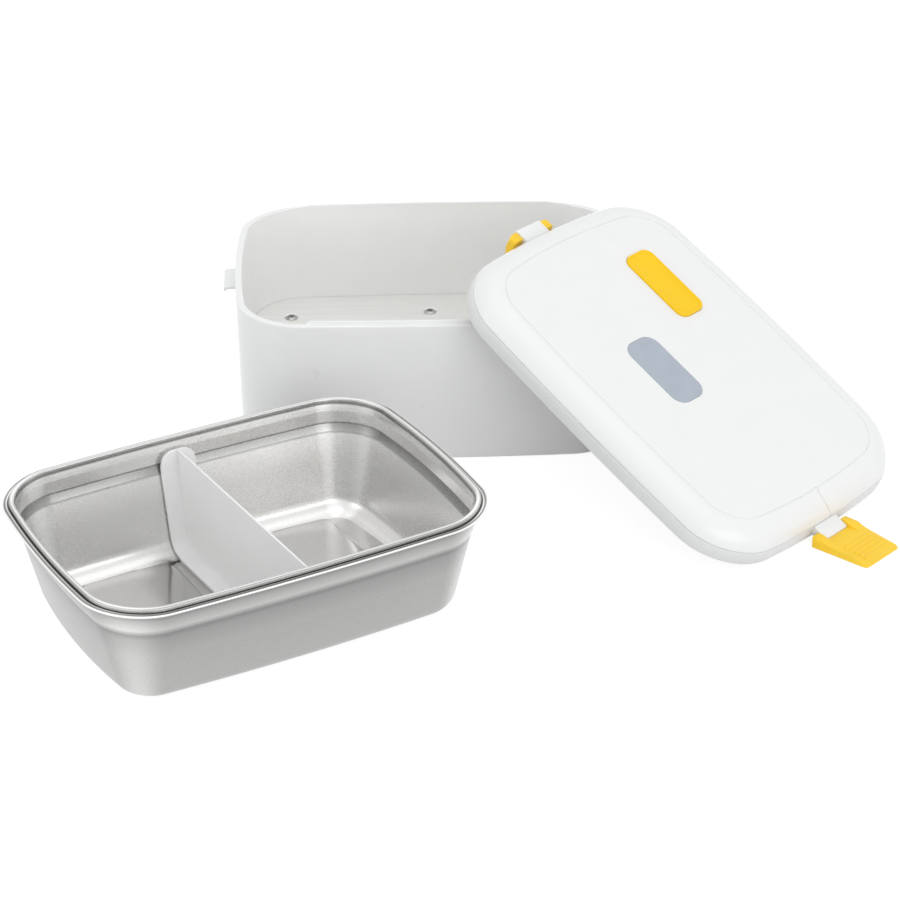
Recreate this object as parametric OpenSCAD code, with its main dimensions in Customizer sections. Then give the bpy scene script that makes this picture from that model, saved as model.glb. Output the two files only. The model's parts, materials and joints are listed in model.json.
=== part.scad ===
// Electric lunch box, opened: heated case, stainless tray with divider, and latched lid.
// Millimetres, +Z up. Origin at the centre of the case's underside, +X along the case.

/* [Case] */
// Length of the case outline at the rim
case_l = 235; // [220:1:260]
// Width of the case outline at the rim
case_w = 169; // [155:1:185]
// Height of the rim above the table
case_h = 88; // [80:1:100]
// Radius of the outline's corners
corner_r = 33.5; // [31:0.5:38]
// How far the long sides bow outwards at their middle
bow_long = 3; // [0:0.5:5]
// How far the short ends bow outwards at their middle
bow_end = 6; // [0:0.5:8]
// How far the outline shrinks from the rim to the base
case_draft = 1.4; // [1:0.1:3]
// Wall of the outer case
case_wall = 2.2; // [1.8:0.1:2.4]
// Radius of the case's bottom edge
case_edge_r = 1.2; // [1:0.1:4]
// Thickness of the case's floor
case_floor_t = 2.5; // [2:0.1:3]
// Width of the rim seen from above
rim_w = 4; // [3.8:0.1:4.4]
// Half length of the support lips on the long rims
lip_half = 73; // [50:1:80]
// How far the far lip's ends run out sideways
lip_run = 24; // [6:1:26]
// Thickness of the support lips
lip_t = 1.6; // [1.2:0.1:2]
// Wall of the inner liner
liner_wall = 1.4; // [1:0.1:1.4]
// Thickness of the liner's floor
liner_floor_t = 2; // [1.5:0.1:2.5]
// Extra inset of the liner at its floor
liner_draft = 1.4; // [1.2:0.1:2]

/* [Catch tabs] */
// Width of each catch tab
catch_w = 25; // [16:1:27]
// Height of the top of the catch tabs above the table
catch_z = 81.4; // [78:0.1:82]
// Thickness of a catch tab at the wall
catch_t = 3; // [2.6:0.1:4]
// How far a catch tab stands out from the rim outline
catch_out = 6.8; // [6:0.1:7.4]

/* [Heating] */
// Height of the heating plate's top
plate_z = 28; // [26:0.5:34]
// Thickness of the heating plate
plate_t = 1.5; // [1:0.1:2]
// X of the four corner screws of the plate
screw_x = 86; // [80:1:90]
// Y of the four corner screws of the plate
screw_y = 50; // [46:1:54]
// Y of the two middle screws of the plate
mid_screw_y = 55; // [52:1:58]
// Length of a heater block
heater_l = 60; // [40:1:70]
// Width of a heater block
heater_w = 30; // [20:1:34]
// Height of a heater block
heater_h = 6; // [5:0.5:7]
// Distance from the thermostat's ears to each heater block
heater_gap = 2; // [1:0.5:4]
// Radius of the thermostat
thermostat_r = 8; // [6:0.5:9]
// Height of the thermostat
thermostat_h = 8.5; // [7:0.5:9]
// Thickness of the heater clamps
clamp_t = 1.5; // [1:0.1:2]
// Width of the heater clamps
clamp_w = 14; // [10:1:20]
// Thickness of the insulation pad
pad_t = 2.5; // [1.5:0.5:4]
// Gap between the pad and the screw wells
pad_gap = 2.5; // [2:0.5:4]

/* [Screws] */
// Radius of the screw shafts
shaft_r = 1.5; // [1.2:0.1:1.7]
// Radius of the screw heads under the case and the heaters
head_r = 3; // [2.6:0.1:3.2]
// Radius of the plate screws' heads
plate_head_r = 3.7; // [3:0.1:4]
// Height of the screw heads
head_h = 1.6; // [1.2:0.1:1.8]
// Depth that a plate screw reaches below the plate
screw_l = 10; // [8:0.5:12]
// Radius of the screw bosses
boss_r = 4; // [3.5:0.1:4.5]
// X of the four base screws
base_screw_x = 66; // [62:1:70]
// Y of the four base screws
base_screw_y = 50; // [47:1:53]

/* [Feet and inlet] */
// How far the foot ring stands below the case
foot_h = 0.4; // [0.3:0.1:2]
// Depth of the foot ring's groove
foot_groove = 1.2; // [0.8:0.1:1.4]
// Inset of the foot ring from the case outline
foot_inset = 14; // [12:1:18]
// Width of the foot ring
foot_w = 8; // [5:1:10]
// Width of the inlet's recess
inlet_w = 20; // [18:1:24]
// Height of the inlet's recess
inlet_h = 9; // [8:0.5:10]
// Depth of the inlet's recess
inlet_d = 9; // [8:0.5:12]
// Wall of the inlet housing
inlet_wall = 2; // [1.5:0.1:2.2]
// Height of the inlet's centre
inlet_z = 14; // [13:0.1:15]
// Radius of the inlet pins
pin_r = 1.18; // [1:0.01:1.3]
// Distance between the inlet pins
pin_pitch = 8.6; // [7:0.1:9]
// Radius of the inner leads
lead_r = 1; // [0.6:0.1:1.2]

/* [Tray] */
// How far the tray's flange stands beyond the case outline
tray_over = 0.8; // [0:0.1:1]
// Height of the flange's top above the tray's underside
tray_h = 63.5; // [60:0.5:66]
// Thickness of the flange's edge
flange_t = 1.2; // [0.8:0.1:1.5]
// Thickness of the tray's sheet
sheet_t = 0.8; // [0.6:0.1:1]
// Height of the sealing bead above the flange
bead_h = 2; // [1:0.1:2.2]
// Inset of the tray wall's outside under the flange
tray_inset = 5.8; // [5.6:0.1:6.2]
// Inset of the bead's inner edge
bead_inset = 8.6; // [8.2:0.1:9]
// Drop of the shoulder's top below the flange's top
shoulder_drop = 11.5; // [9:0.5:14]
// Height of the shoulder
shoulder_h = 5; // [3:0.5:6]
// Width of the shoulder's step
shoulder_step = 1.6; // [1:0.1:2]
// Inward slope of the tray's lower wall, in degrees
tray_slope = 12.3; // [10:0.1:13]
// Radius of the tray's bottom edge
tray_foot_r = 12; // [8:0.5:14]
// Height of the raised floor panels
panel_h = 1.2; // [0.6:0.1:1.6]
// Length of each raised floor panel
panel_l = 55; // [45:1:56]
// Gap between the two raised floor panels
panel_gap = 42; // [40:1:46]
// Width of the raised floor panels
panel_w = 113; // [100:1:114]
// X of the tray's centre beside the case
tray_x = -107.27; // [-112:0.01:-100]
// Y of the tray's centre beside the case
tray_y = -236.41; // [-245:0.01:-232]
// Turn of the tray about the vertical
tray_turn = 27.14; // [22:0.01:32]

/* [Divider] */
// Thickness of the divider's web
web_t = 1.2; // [1:0.1:1.6]
// Width of the divider's strip
strip_w = 21; // [16:1:24]
// Thickness of the divider's strip
strip_t = 1.6; // [1.2:0.1:2]
// Height of the web's top above the tray's underside
web_top = 59.5; // [50:0.5:60]
// Sideways place of the divider's middle
divider_x = -2.2; // [-4:0.1:0]
// Small turn of the divider in the tray
divider_turn = 2.2; // [0:0.1:3]
// Gap between the divider's strip and the tray wall
divider_gap = 0.4; // [0.3:0.1:0.8]

/* [Lid] */
// How far the lid stands beyond the case outline
lid_over = 2.8; // [2.8:0.1:3.4]
// Height of the lid
lid_h = 19.5; // [19:0.5:22]
// Radius of the roll round the lid's border
roll_r = 16; // [14:0.5:17]
// Height of the seam between the cover and the base
seam_z = 8.5; // [8:0.1:9]
// Wall of the cover
cover_t = 1.8; // [1.6:0.1:2]
// Wall of the skirt
skirt_t = 1.6; // [1.4:0.1:1.8]
// Thickness of the inner plate
inner_plate_t = 1.6; // [1.2:0.1:2]
// Gap between the top panel and the inner plate
lid_hollow = 4.8; // [2.7:0.1:5]
// Depth of the groove round the top panel
groove_d = 0.5; // [0.3:0.1:0.7]
// Width of the groove round the top panel
groove_w = 0.7; // [0.5:0.1:1]
// Width of the gasket
gasket_w = 3.6; // [3:0.1:4]
// Height of the closed lid's skirt edge above the table
lid_seat_z = 84.2; // [84:0.1:84.6]
// Gap between the open lid's inner plate and the case's rim
lid_rest_gap = 0.537; // [0.5:0.001:0.6]
// Height of the open lid's lower edge, where its near end rests
lid_foot = 1.1595; // [1.1:0.0001:1.3]
// How far the open lid's middle stands beside the case's corner
lid_side = 3.225; // [3:0.005:4]
// Turn of the open lid about the vertical
lid_turn = -44.75; // [-45:0.01:-44]
// Lean of the open lid
lid_lean = 26.64; // [26.4:0.01:27]

/* [Vent] */
// Length of the vent plug
vent_l = 51; // [46:1:52]
// Width of the vent plug
vent_w = 21.3; // [18:0.1:23]
// Radius of the vent plug's corners
vent_r = 6; // [4:0.5:8]
// How far the vent plug stands above the lid
vent_rise = 1.5; // [1:0.1:2]
// X of the vent plug on the lid
vent_x = -50.4; // [-54:0.1:-48]
// Y of the vent plug on the lid
vent_y = 32.6; // [30:0.1:36]
// Radius of the vent plug's stems
stem_r = 3; // [2.5:0.1:3.4]
// Length of the inlay plate
inlay_l = 48.4; // [42:0.1:50]
// Width of the inlay plate
inlay_w = 23.9; // [21:0.1:26]
// Radius of the inlay plate's corners
inlay_r = 8; // [6:0.5:10]
// X of the inlay plate on the lid
inlay_x = -2.4; // [-5:0.1:0]
// Y of the inlay plate on the lid
inlay_y = -18.6; // [-22:0.1:-14]
// Depth of the recesses in the cover
recess_d = 0.8; // [0.5:0.1:0.8]

/* [Latches] */
// Width of a latch at its hinge
latch_w = 34; // [32:0.5:38]
// Width of a latch at its tip
latch_tip_w = 31; // [28:0.5:32]
// Sideways place of the latches and catch tabs
latch_y = -2.4; // [-3:0.1:0]
// Length of a latch from its hinge pin
latch_l = 36; // [32:1:40]
// Thickness of a latch at its tip
latch_tip_t = 1.6; // [1.2:0.1:2.4]
// Height of the hinge ears above the hinge pin
ear_r = 3.6; // [3.2:0.1:3.6]
// Distance from the hinge pin to the back of the ears
ear_back = 1.9; // [1.8:0.1:2.6]
// Width of the knuckle between the ears
knuckle_w = 19.8; // [16:0.2:22]
// Reach of the knuckle beyond the hinge pin
knuckle_r = 4; // [3.6:0.1:4.2]
// Thickness of the knuckle
knuckle_t = 5.6; // [5:0.1:5.8]
// Height of the hinge pin above the skirt's edge
hinge_z = 6; // [5.5:0.1:6.5]
// Distance from the lid's end to the hinge pin
hinge_out = 5.7; // [5.4:0.1:6.5]
// Radius of the hinge pins
hinge_pin_r = 0.8; // [0.6:0.1:1]
// Thickness of a latch's roof over the catch
latch_roof = 1.6; // [1.2:0.1:2]
// Number of grip grooves
grip_count = 5; // [0:1:6]
// Distance between the grip grooves
grip_pitch = 3.4; // [2.5:0.1:3.6]

/* [Clearances] */
// Clearance of loose parts
loose = 0.3; // [0.2:0.05:0.35]
// Clearance of seated parts
seated = 0.1; // [0.05:0.05:0.2]
// Radial running clearance of pins and screws
running = 0.05; // [0.02:0.01:0.09]

/* [Hidden] */
$fn = 48;
eps = 0.01;
ARC_STEPS = 8;
SIDE_STEPS = 4;

// outline: a rounded rectangle whose sides bow outwards
function arc_centre(q, l, w, r) = [((q == 0 || q == 3) ? 1 : -1) * (l / 2 - r), (q < 2 ? 1 : -1) * (w / 2 - r)];
function arc_point(q, i, l, w, r) =
    arc_centre(q, l, w, r) + r * [cos(90 * (q + i / ARC_STEPS)), sin(90 * (q + i / ARC_STEPS))];
function bowed(p, l, w) =
    [p[0] * (1 - 2 * bow_end / l * pow(2 * p[1] / w, 2)), p[1] * (1 - 2 * bow_long / w * pow(2 * p[0] / l, 2))];
function ring(l, w, r) = [for (q = [0:3]) each concat(
    [for (i = [0:ARC_STEPS]) bowed(arc_point(q, i, l, w, r), l, w)],
    [for (k = [1:SIDE_STEPS - 1])
        let (a = arc_point(q, ARC_STEPS, l, w, r), b = arc_point((q + 1) % 4, 0, l, w, r))
        bowed(a + (b - a) * k / SIDE_STEPS, l, w)])];
function outline(inset) = ring(case_l - 2 * inset, case_w - 2 * inset, max(corner_r - inset, 1));

// a closed shell through rows of [inset, height], capped at both ends
module loft(rows, over = 0) {
    rings = [for (row = rows) outline(row[0] - over)];
    n = len(rings[0]);
    last = len(rows) - 1;
    polyhedron(
        points = [for (j = [0:last]) for (p = rings[j]) [p[0], p[1], rows[j][1]]],
        faces = concat(
            [[for (i = [0:n - 1]) i]],
            [[for (i = [0:n - 1]) last * n + n - 1 - i]],
            [for (j = [0:last - 1]) for (i = [0:n - 1]) each
                let (k = (i + 1) % n, a = j * n, b = (j + 1) * n)
                [[a + i, b + i, b + k], [a + i, b + k, a + k]]]),
        convexity = 6);
}

module slab(inset, z0, z1, over = 0) {
    translate([0, 0, z0]) linear_extrude(z1 - z0) polygon(outline(inset - over));
}

module hoop(inset, width, z0, z1, over = 0) {
    difference() {
        slab(inset, z0, z1, over);
        slab(inset + width, z0 - 1, z1 + 1, over);
    }
}

// a rounded rectangle
module plaque(l, w, r) {
    square([l - 2 * r, w], center = true);
    square([l, w - 2 * r], center = true);
    for (sx = [-1, 1]) for (sy = [-1, 1]) translate([sx * (l / 2 - r), sy * (w / 2 - r)]) circle(r);
}

module pill(l, w) {
    for (s = [-1, 1]) translate([s * (l - w) / 2, 0]) circle(w / 2);
    square([l - w, w], center = true);
}

module mirrored_x() {
    children();
    mirror([1, 0, 0]) children();
}

// heights of the case
base_z = foot_h;
liner_top = case_h - 2;
liner_seat = plate_z - plate_t;
liner_base = liner_seat - liner_floor_t;
boss_base = base_z + case_floor_t + 3;
thermostat_ear = 5;
heater_x = thermostat_r + thermostat_ear + heater_gap + heater_l / 2;
floor_top = base_z + case_floor_t;
function case_inset(z) = case_draft * (1 - z / case_h);
function liner_inset(z) = rim_w + liner_draft * (case_h - z) / (case_h - liner_seat);

// positions of the plate screws and base screws
plate_screws = [[screw_x, screw_y], [-screw_x, screw_y], [-screw_x, -screw_y], [screw_x, -screw_y],
    [0, mid_screw_y], [0, -mid_screw_y]];
base_screws = [[base_screw_x, base_screw_y], [-base_screw_x, base_screw_y],
    [-base_screw_x, -base_screw_y], [base_screw_x, -base_screw_y]];
clamp_screw_y = heater_w / 2 + boss_r + 1.5;
clamp_screws = [for (sx = [-1, 1]) for (sy = [-1, 1]) [sx * heater_x, sy * clamp_screw_y]];

// heights of the heating parts
heater_base = liner_seat - heater_h;
clamp_boss_base = heater_base;
dish_r = plate_head_r + 1.2;
dish_d = 0.9;
slot_w = 0.7;
slot_d = 0.8;

// catch and latch, measured from the lid's skirt edge
pivot_x = case_l / 2 + lid_over + hinge_out;
pivot_z = lid_seat_z + hinge_z;
catch_top_drop = pivot_z - catch_z;
latch_under = ear_r;
pocket_w = catch_w + 4 * loose;
pocket_depth = pivot_x - case_l / 2 - catch_out - loose;
plate_top = latch_roof - pocket_depth;
notch_end = 14.6;
hinge_pin_l = latch_w - 6;

// tray rows
flange_low = tray_h - flange_t;
shoulder_top = tray_h - shoulder_drop;
shoulder_low = shoulder_top - shoulder_h;
shoulder_inset = tray_inset + 0.6;
wall_inset = shoulder_inset + shoulder_step;
foot_z = tray_foot_r * (1 - sin(tray_slope));
foot_centre = wall_inset + (shoulder_low - foot_z) * tan(tray_slope) + tray_foot_r * cos(tray_slope);
inner_foot_r = tray_foot_r - sheet_t;
FOOT_STEPS = 5;
function foot_angle(k) = tray_slope + (90 - tray_slope) * k / FOOT_STEPS;
bead_w = 3;

// lid rows
roll_z = lid_h - roll_r;
function roll_inset(r, z) = roll_r - sqrt(max(r * r - pow(z - roll_z, 2), 0));
cover_inner_r = roll_r - cover_t;
base_outer_r = cover_inner_r - 2 * seated;
base_top = lid_h - cover_t - lid_hollow;
base_under = base_top - inner_plate_t;
flange_z = plate_z + tray_h - lid_seat_z;
gasket_low = flange_z + bead_h + seated;
gasket_inset = 7.4;
LID_STEPS = 7;

// the case's wall, floor, screw wells and catch tabs
module outer_case() {
    edge = [for (a = [0:18:90])
        let (z = base_z + case_edge_r * (1 - cos(a))) [case_inset(z) + case_edge_r * (1 - sin(a)), z]];
    rows = concat(edge, [
        [case_inset(liner_top), liner_top],
        [case_inset(liner_top) + case_wall, liner_top],
        [case_inset(floor_top) + case_wall, floor_top + 2],
        [case_inset(floor_top) + case_wall + 2, floor_top]]);
    color("white") difference() {
        union() {
            loft(rows);
            for (p = base_screws) translate([p[0], p[1], floor_top - 1]) cylinder(r = boss_r + 1, h = boss_base - floor_top + 1);
            mirrored_x() catch_tab();
        }
        hoop(foot_inset - seated, foot_w + 2 * seated, base_z - 1, base_z + foot_groove);
        for (p = base_screws) translate([p[0], p[1], base_z - 1]) {
            cylinder(r = head_r + 2 * running, h = boss_base - base_z - 1.5);
            cylinder(r = shaft_r + running, h = boss_base - base_z + 2);
        }
        translate([0, case_w / 2, inlet_z])
            cube([inlet_w + 2 * inlet_wall + 2 * seated, 2 * (inlet_d + 1), inlet_h + 2 * inlet_wall + 2 * seated], center = true);
    }
}

// one tab that a latch hooks under, thinner towards its outer edge, with a lip below
module catch_tab() {
    x0 = case_l / 2 - case_wall;
    x1 = case_l / 2 + catch_out;
    low = catch_z - catch_t;
    translate([0, latch_y + catch_w / 2, 0]) rotate([90, 0, 0]) linear_extrude(catch_w)
        polygon([[x0, low + 1], [x1 - 2.2, low + 1], [x1 - 1.6, low], [x1 - 0.5, low], [x1, low + 0.6],
            [x1, catch_z - 1.2], [x1 - 0.8, catch_z - 0.5], [x0, catch_z]]);
}

module foot_ring() {
    color("dimgray") hoop(foot_inset, foot_w, 0, base_z + foot_groove);
}

module insulation_pad() {
    color("lightgray") translate([0, 0, floor_top])
        linear_extrude(pad_t) square([2 * (base_screw_x - 2 * boss_r - pad_gap), 2 * (base_screw_y - 2 * boss_r - pad_gap)], center = true);
}

// the inner tub: rim, support lips, wall, floor and screw bosses
module inner_liner() {
    rows = [
        [liner_inset(liner_base) - liner_wall, liner_base],
        [liner_inset(liner_top) - liner_wall, liner_top],
        [0.1, liner_top],
        [0, case_h - 0.6],
        [0.5, case_h],
        [rim_w - 0.4, case_h],
        [rim_w, case_h - 0.4],
        [liner_inset(liner_seat), liner_seat]];
    color("whitesmoke") difference() {
        union() {
            loft(rows);
            support_lips();
            for (p = base_screws) translate([p[0], p[1], boss_base]) cylinder(r = boss_r, h = liner_base - boss_base + 1);
            for (p = plate_screws) translate([p[0], p[1], liner_seat - screw_l - 2]) cylinder(r = boss_r, h = screw_l + 1);
            for (p = clamp_screws) translate([p[0], p[1], clamp_boss_base]) cylinder(r = boss_r, h = liner_base - clamp_boss_base + 1);
            fuse_cradle();
        }
        for (p = base_screws) translate([p[0], p[1], boss_base - 1]) cylinder(r = shaft_r + running, h = 12);
        for (p = plate_screws) translate([p[0], p[1], liner_seat - screw_l]) cylinder(r = shaft_r + running, h = screw_l + 1);
        for (p = clamp_screws) translate([p[0], p[1], clamp_boss_base - 1]) cylinder(r = shaft_r + running, h = liner_seat - clamp_boss_base - 0.5);
        for (s = [-1, 1]) translate([s * heater_x, 0, liner_seat - 2])
            cube([heater_l + 4 * seated, heater_w + 4 * seated, 8], center = true);
        translate([0, 0, liner_base - 1]) cylinder(r = thermostat_r + 2 * seated, h = liner_floor_t + 2);
    }
}

// low lips on the long rims that the tray's flange rests on: short ends near, long ends far
module support_lips() {
    lip_top = plate_z + flange_low - seated;
    intersection() {
        hoop(rim_w - lip_t, lip_t, case_h - 1, lip_top);
        for (side = [[0, lip_top - case_h + 1], [case_w, lip_run]]) translate([0, side[0], 0]) rotate([90, 0, 0]) linear_extrude(case_w)
            polygon([[-lip_half - side[1], case_h - 1], [lip_half + side[1], case_h - 1], [lip_half, lip_top], [-lip_half, lip_top]]);
    }
}

fuse_r = 2;
fuse_l = 16;
fuse_y = thermostat_r + 10;
// two ears under the liner's floor that hold the fuse
module fuse_cradle() {
    for (s = [-1, 1]) translate([s * fuse_l / 4, fuse_y, liner_base]) difference() {
        translate([-1.5, -fuse_r - 1.2, -2 * fuse_r - 1.4]) cube([3, 2 * fuse_r + 2.4, 2 * fuse_r + 2.4]);
        translate([-2, 0, -fuse_r - 2 * running]) rotate([0, 90, 0]) cylinder(r = fuse_r + running, h = 4);
    }
}

module thermal_fuse() {
    color("tan") translate([-fuse_l / 2, fuse_y, liner_base - fuse_r - 2 * running]) rotate([0, 90, 0]) cylinder(r = fuse_r, h = fuse_l);
}

// the plate under the tray, dished round each screw
module heating_plate() {
    color("silver") difference() {
        slab(liner_inset(liner_seat) + seated, liner_seat, plate_z);
        for (p = plate_screws) translate([p[0], p[1], 0]) {
            translate([0, 0, plate_z - dish_d]) cylinder(r1 = dish_r - 0.9, r2 = dish_r, h = dish_d + eps);
            translate([0, 0, liner_seat - 1]) cylinder(r = shaft_r + running, h = plate_t + 2);
        }
    }
}

// a pan-head screw with a cross slot: head up, shaft down from z = 0
module screw(length, r = head_r) {
    slot_l = 1.2 * r;
    color("silver") difference() {
        union() {
            cylinder(r = r, h = head_h * 0.5);
            translate([0, 0, head_h * 0.5]) cylinder(r1 = r, r2 = r - 0.9, h = head_h * 0.5);
            translate([0, 0, -length]) cylinder(r = shaft_r, h = length + 0.1);
        }
        for (a = [0, 90]) rotate(a) translate([-slot_l / 2, -slot_w / 2, head_h - slot_d]) cube([slot_l, slot_w, 2]);
    }
}

module plate_screw(i) {
    translate([plate_screws[i][0], plate_screws[i][1], plate_z - dish_d]) screw(screw_l - 2, plate_head_r);
}

module base_screw(i) {
    translate([base_screws[i][0], base_screws[i][1], boss_base - 2.5]) rotate([180, 0, 0]) screw(10);
}

module clamp_screw(i) {
    translate([clamp_screws[i][0], clamp_screws[i][1], clamp_boss_base - clamp_t]) rotate([180, 0, 0]) screw(clamp_t + 4);
}

module heater(s) {
    color("gray") translate([s * heater_x, 0, heater_base + heater_h / 2]) cube([heater_l, heater_w, heater_h], center = true);
}

// a strap under a heater, screwed to the liner on both sides
module heater_clamp(s) {
    color("lightsteelblue") translate([s * heater_x, 0, heater_base - clamp_t]) linear_extrude(clamp_t) difference() {
        square([clamp_w, 2 * clamp_screw_y + 2 * boss_r], center = true);
        for (sy = [-1, 1]) translate([0, sy * clamp_screw_y]) circle(shaft_r + running);
    }
}

// a disc thermostat pressed to the plate, its ears under the liner's floor
module thermostat() {
    color("darkgray") translate([0, 0, liner_seat - thermostat_h]) {
        cylinder(r = thermostat_r, h = thermostat_h);
        translate([0, 0, thermostat_h - liner_floor_t - 0.8]) linear_extrude(0.8) pill(2 * (thermostat_r + thermostat_ear), 2 * thermostat_r - 6);
    }
}

inlet_lip = 0.7;
inlet_y = case_w / 2 - case_inset(inlet_z + inlet_h / 2 + inlet_wall + 2) + inlet_lip + seated;
// the socket for the power lead: a two-pin recess with a lip outside the wall
module inlet_housing() {
    w = inlet_w + 2 * inlet_wall;
    h = inlet_h + 2 * inlet_wall;
    color("dimgray") translate([0, inlet_y, inlet_z]) rotate([90, 0, 0]) difference() {
        union() {
            linear_extrude(inlet_lip) square([w + 4, h + 4], center = true);
            linear_extrude(inlet_d + inlet_wall) square([w, h], center = true);
        }
        translate([0, 0, -1]) linear_extrude(inlet_d + 1) pill(inlet_w, inlet_h);
        for (s = [-1, 1]) translate([s * pin_pitch / 2, 0, 0]) cylinder(r = pin_r + running / 2, h = inlet_d + inlet_wall + 1);
    }
}

pin_back = inlet_y - inlet_d - inlet_wall - 4;
module inlet_pin(s) {
    color("gold") translate([s * pin_pitch / 2, inlet_y - 1.5, inlet_z]) rotate([90, 0, 0]) cylinder(r = pin_r, h = inlet_y - 1.5 - pin_back);
}

// a lead through corner points, as rods with round joints
module rods(points, r) {
    for (i = [1:len(points) - 1]) {
        d = points[i] - points[i - 1];
        translate(points[i - 1]) rotate([0, acos(d[2] / norm(d)), atan2(d[1], d[0])]) cylinder(r = r, h = norm(d), $fn = 24);
    }
    for (i = [1:len(points) - 2]) translate(points[i]) sphere(1.15 * r, $fn = 24);
}

// a lead from an inlet pin to the end of a heater
module lead() {
    lead_x = heater_x - heater_l / 2 + 6;
    lead_z = heater_base + heater_h / 2 - lead_r;
    color("firebrick") rods([[-pin_pitch / 2, pin_back, inlet_z],
        [-pin_pitch / 2, pin_back - 2, inlet_z],
        [-boss_r - 6, pin_back - 6, inlet_z - 2],
        [-lead_x, heater_w / 2 + 12, lead_z],
        [-lead_x, heater_w / 2, lead_z]], lead_r);
}

// the open lid's centre: its near end on the table, its inner plate on the case's corner
lid_dir = [cos(lid_turn), sin(lid_turn)];
rim_reach = max([for (p = outline(0.5)) p * lid_dir]);
lid_z = (case_l / 2 + lid_over) * sin(lid_lean) + lid_foot;
lid_along = rim_reach - (base_under - lid_rest_gap - (case_h - lid_z) * cos(lid_lean)) / sin(lid_lean);
lid_aside = -case_l / 2 * lid_dir[1] - case_w / 2 * lid_dir[0] + lid_side;
lid_x = lid_along * lid_dir[0] - lid_aside * lid_dir[1];
lid_y = lid_along * lid_dir[1] + lid_aside * lid_dir[0];

// the lid's own frame: skirt edge at z = 0, long side along X
module at_lid() {
    translate([lid_x, lid_y, lid_z]) rotate([0, 0, lid_turn]) rotate([0, lid_lean, 0]) children();
}

// the upper cover: a rolled border and a flat panel with a groove round it
module lid_cover_shape() {
    a0 = asin((seam_z - roll_z) / roll_r);
    b0 = asin((seam_z - roll_z) / cover_inner_r);
    rows = concat(
        [[roll_inset(cover_inner_r, seam_z), seam_z]],
        [for (k = [0:LID_STEPS]) let (a = b0 + (90 - b0) * k / LID_STEPS)
            [roll_r - cover_inner_r * cos(a), roll_z + cover_inner_r * sin(a)]]);
    outer = [for (k = [0:LID_STEPS]) let (a = a0 + (90 - a0) * k / LID_STEPS)
        [roll_r - roll_r * cos(a), roll_z + roll_r * sin(a)]];
    difference() {
        loft(outer, lid_over);
        loft(concat([[rows[0][0], seam_z - 1]], [for (k = [1:len(rows) - 1]) rows[k]]), lid_over);
        hoop(roll_r - 0.4, groove_w, lid_h - groove_d, lid_h + 1, lid_over);
        translate([vent_x, vent_y, lid_h - recess_d]) {
            linear_extrude(5) plaque(vent_l + 2 * loose, vent_w + 2 * loose, vent_r + loose);
            for (s = [-1, 1]) translate([s * vent_l / 4, 0, -5]) cylinder(r = stem_r + loose, h = 6);
        }
        translate([inlay_x, inlay_y, lid_h - recess_d]) linear_extrude(5) plaque(inlay_l + 2 * seated, inlay_w + 2 * seated, inlay_r + seated);
    }
}

module lid_cover() {
    color("white") at_lid() lid_cover_shape();
}

// the lower band and inner plate, with a hinge knuckle at each end
module lid_base() {
    low = roll_inset(roll_r, roll_z);
    shelf = roll_inset(base_outer_r, seam_z);
    flat = gasket_inset - 2 * seated;
    dome = [for (k = [0:4]) let (z = seam_z + (base_top - seam_z) * k / 4) [roll_inset(base_outer_r, z), z]];
    rows = concat(
        [[0.5, 0], [low, 0.5], [low, roll_z], [roll_inset(roll_r, seam_z), seam_z]],
        dome,
        []);
    color("white") at_lid() difference() {
        union() {
            loft(rows, lid_over);
            mirrored_x() knuckle();
        }
        loft([[skirt_t, -1], [skirt_t, flange_z + seated], [shelf + 2.2, seam_z - 0.1], [flat - 0.6, base_under - 2.4], [flat, base_under]], lid_over);
        mirrored_x() translate([pivot_x, latch_y, hinge_z]) rotate([90, 0, 0]) cylinder(r = hinge_pin_r + running, h = knuckle_w + 2, center = true);
        for (s = [-1, 1]) translate([vent_x + s * vent_l / 4, vent_y, base_under - 1]) cylinder(r = stem_r + loose, h = inner_plate_t + 2);
    }
}

// a tongue on the lid's end that carries the hinge pin
module knuckle() {
    root = case_l / 2 + lid_over - skirt_t / 2;
    translate([0, latch_y + knuckle_w / 2, 0]) rotate([90, 0, 0]) linear_extrude(knuckle_w) intersection() {
        union() {
            translate([pivot_x, hinge_z]) circle(knuckle_r);
            translate([root, hinge_z - knuckle_r]) square([pivot_x - root, 2 * knuckle_r]);
        }
        translate([root, hinge_z - knuckle_t / 2]) square([2 * knuckle_r + pivot_x - root, knuckle_t]);
    }
}

module lid_gasket() {
    color("silver") at_lid() hoop(gasket_inset, gasket_w, gasket_low, base_under, lid_over);
}

module lid_inlay() {
    color("lightsteelblue") at_lid() translate([inlay_x, inlay_y, lid_h - recess_d]) linear_extrude(recess_d) plaque(inlay_l, inlay_w, inlay_r);
}

vent_rim = 1.6;
// the vent plug: a rounded cap with a raised edge and two stems
module vent_plug() {
    color("gold") at_lid() translate([vent_x, vent_y, lid_h - recess_d]) {
        difference() {
            linear_extrude(recess_d + vent_rise) plaque(vent_l, vent_w, vent_r);
            translate([0, 0, recess_d + vent_rise - 0.5]) linear_extrude(1) plaque(vent_l - 2 * vent_rim, vent_w - 2 * vent_rim, vent_r - vent_rim);
        }
        for (s = [-1, 1]) translate([s * vent_l / 4, 0, base_under - lid_h + recess_d + 0.2])
            cylinder(r = stem_r, h = lid_h - recess_d - base_under);
    }
}

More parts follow.
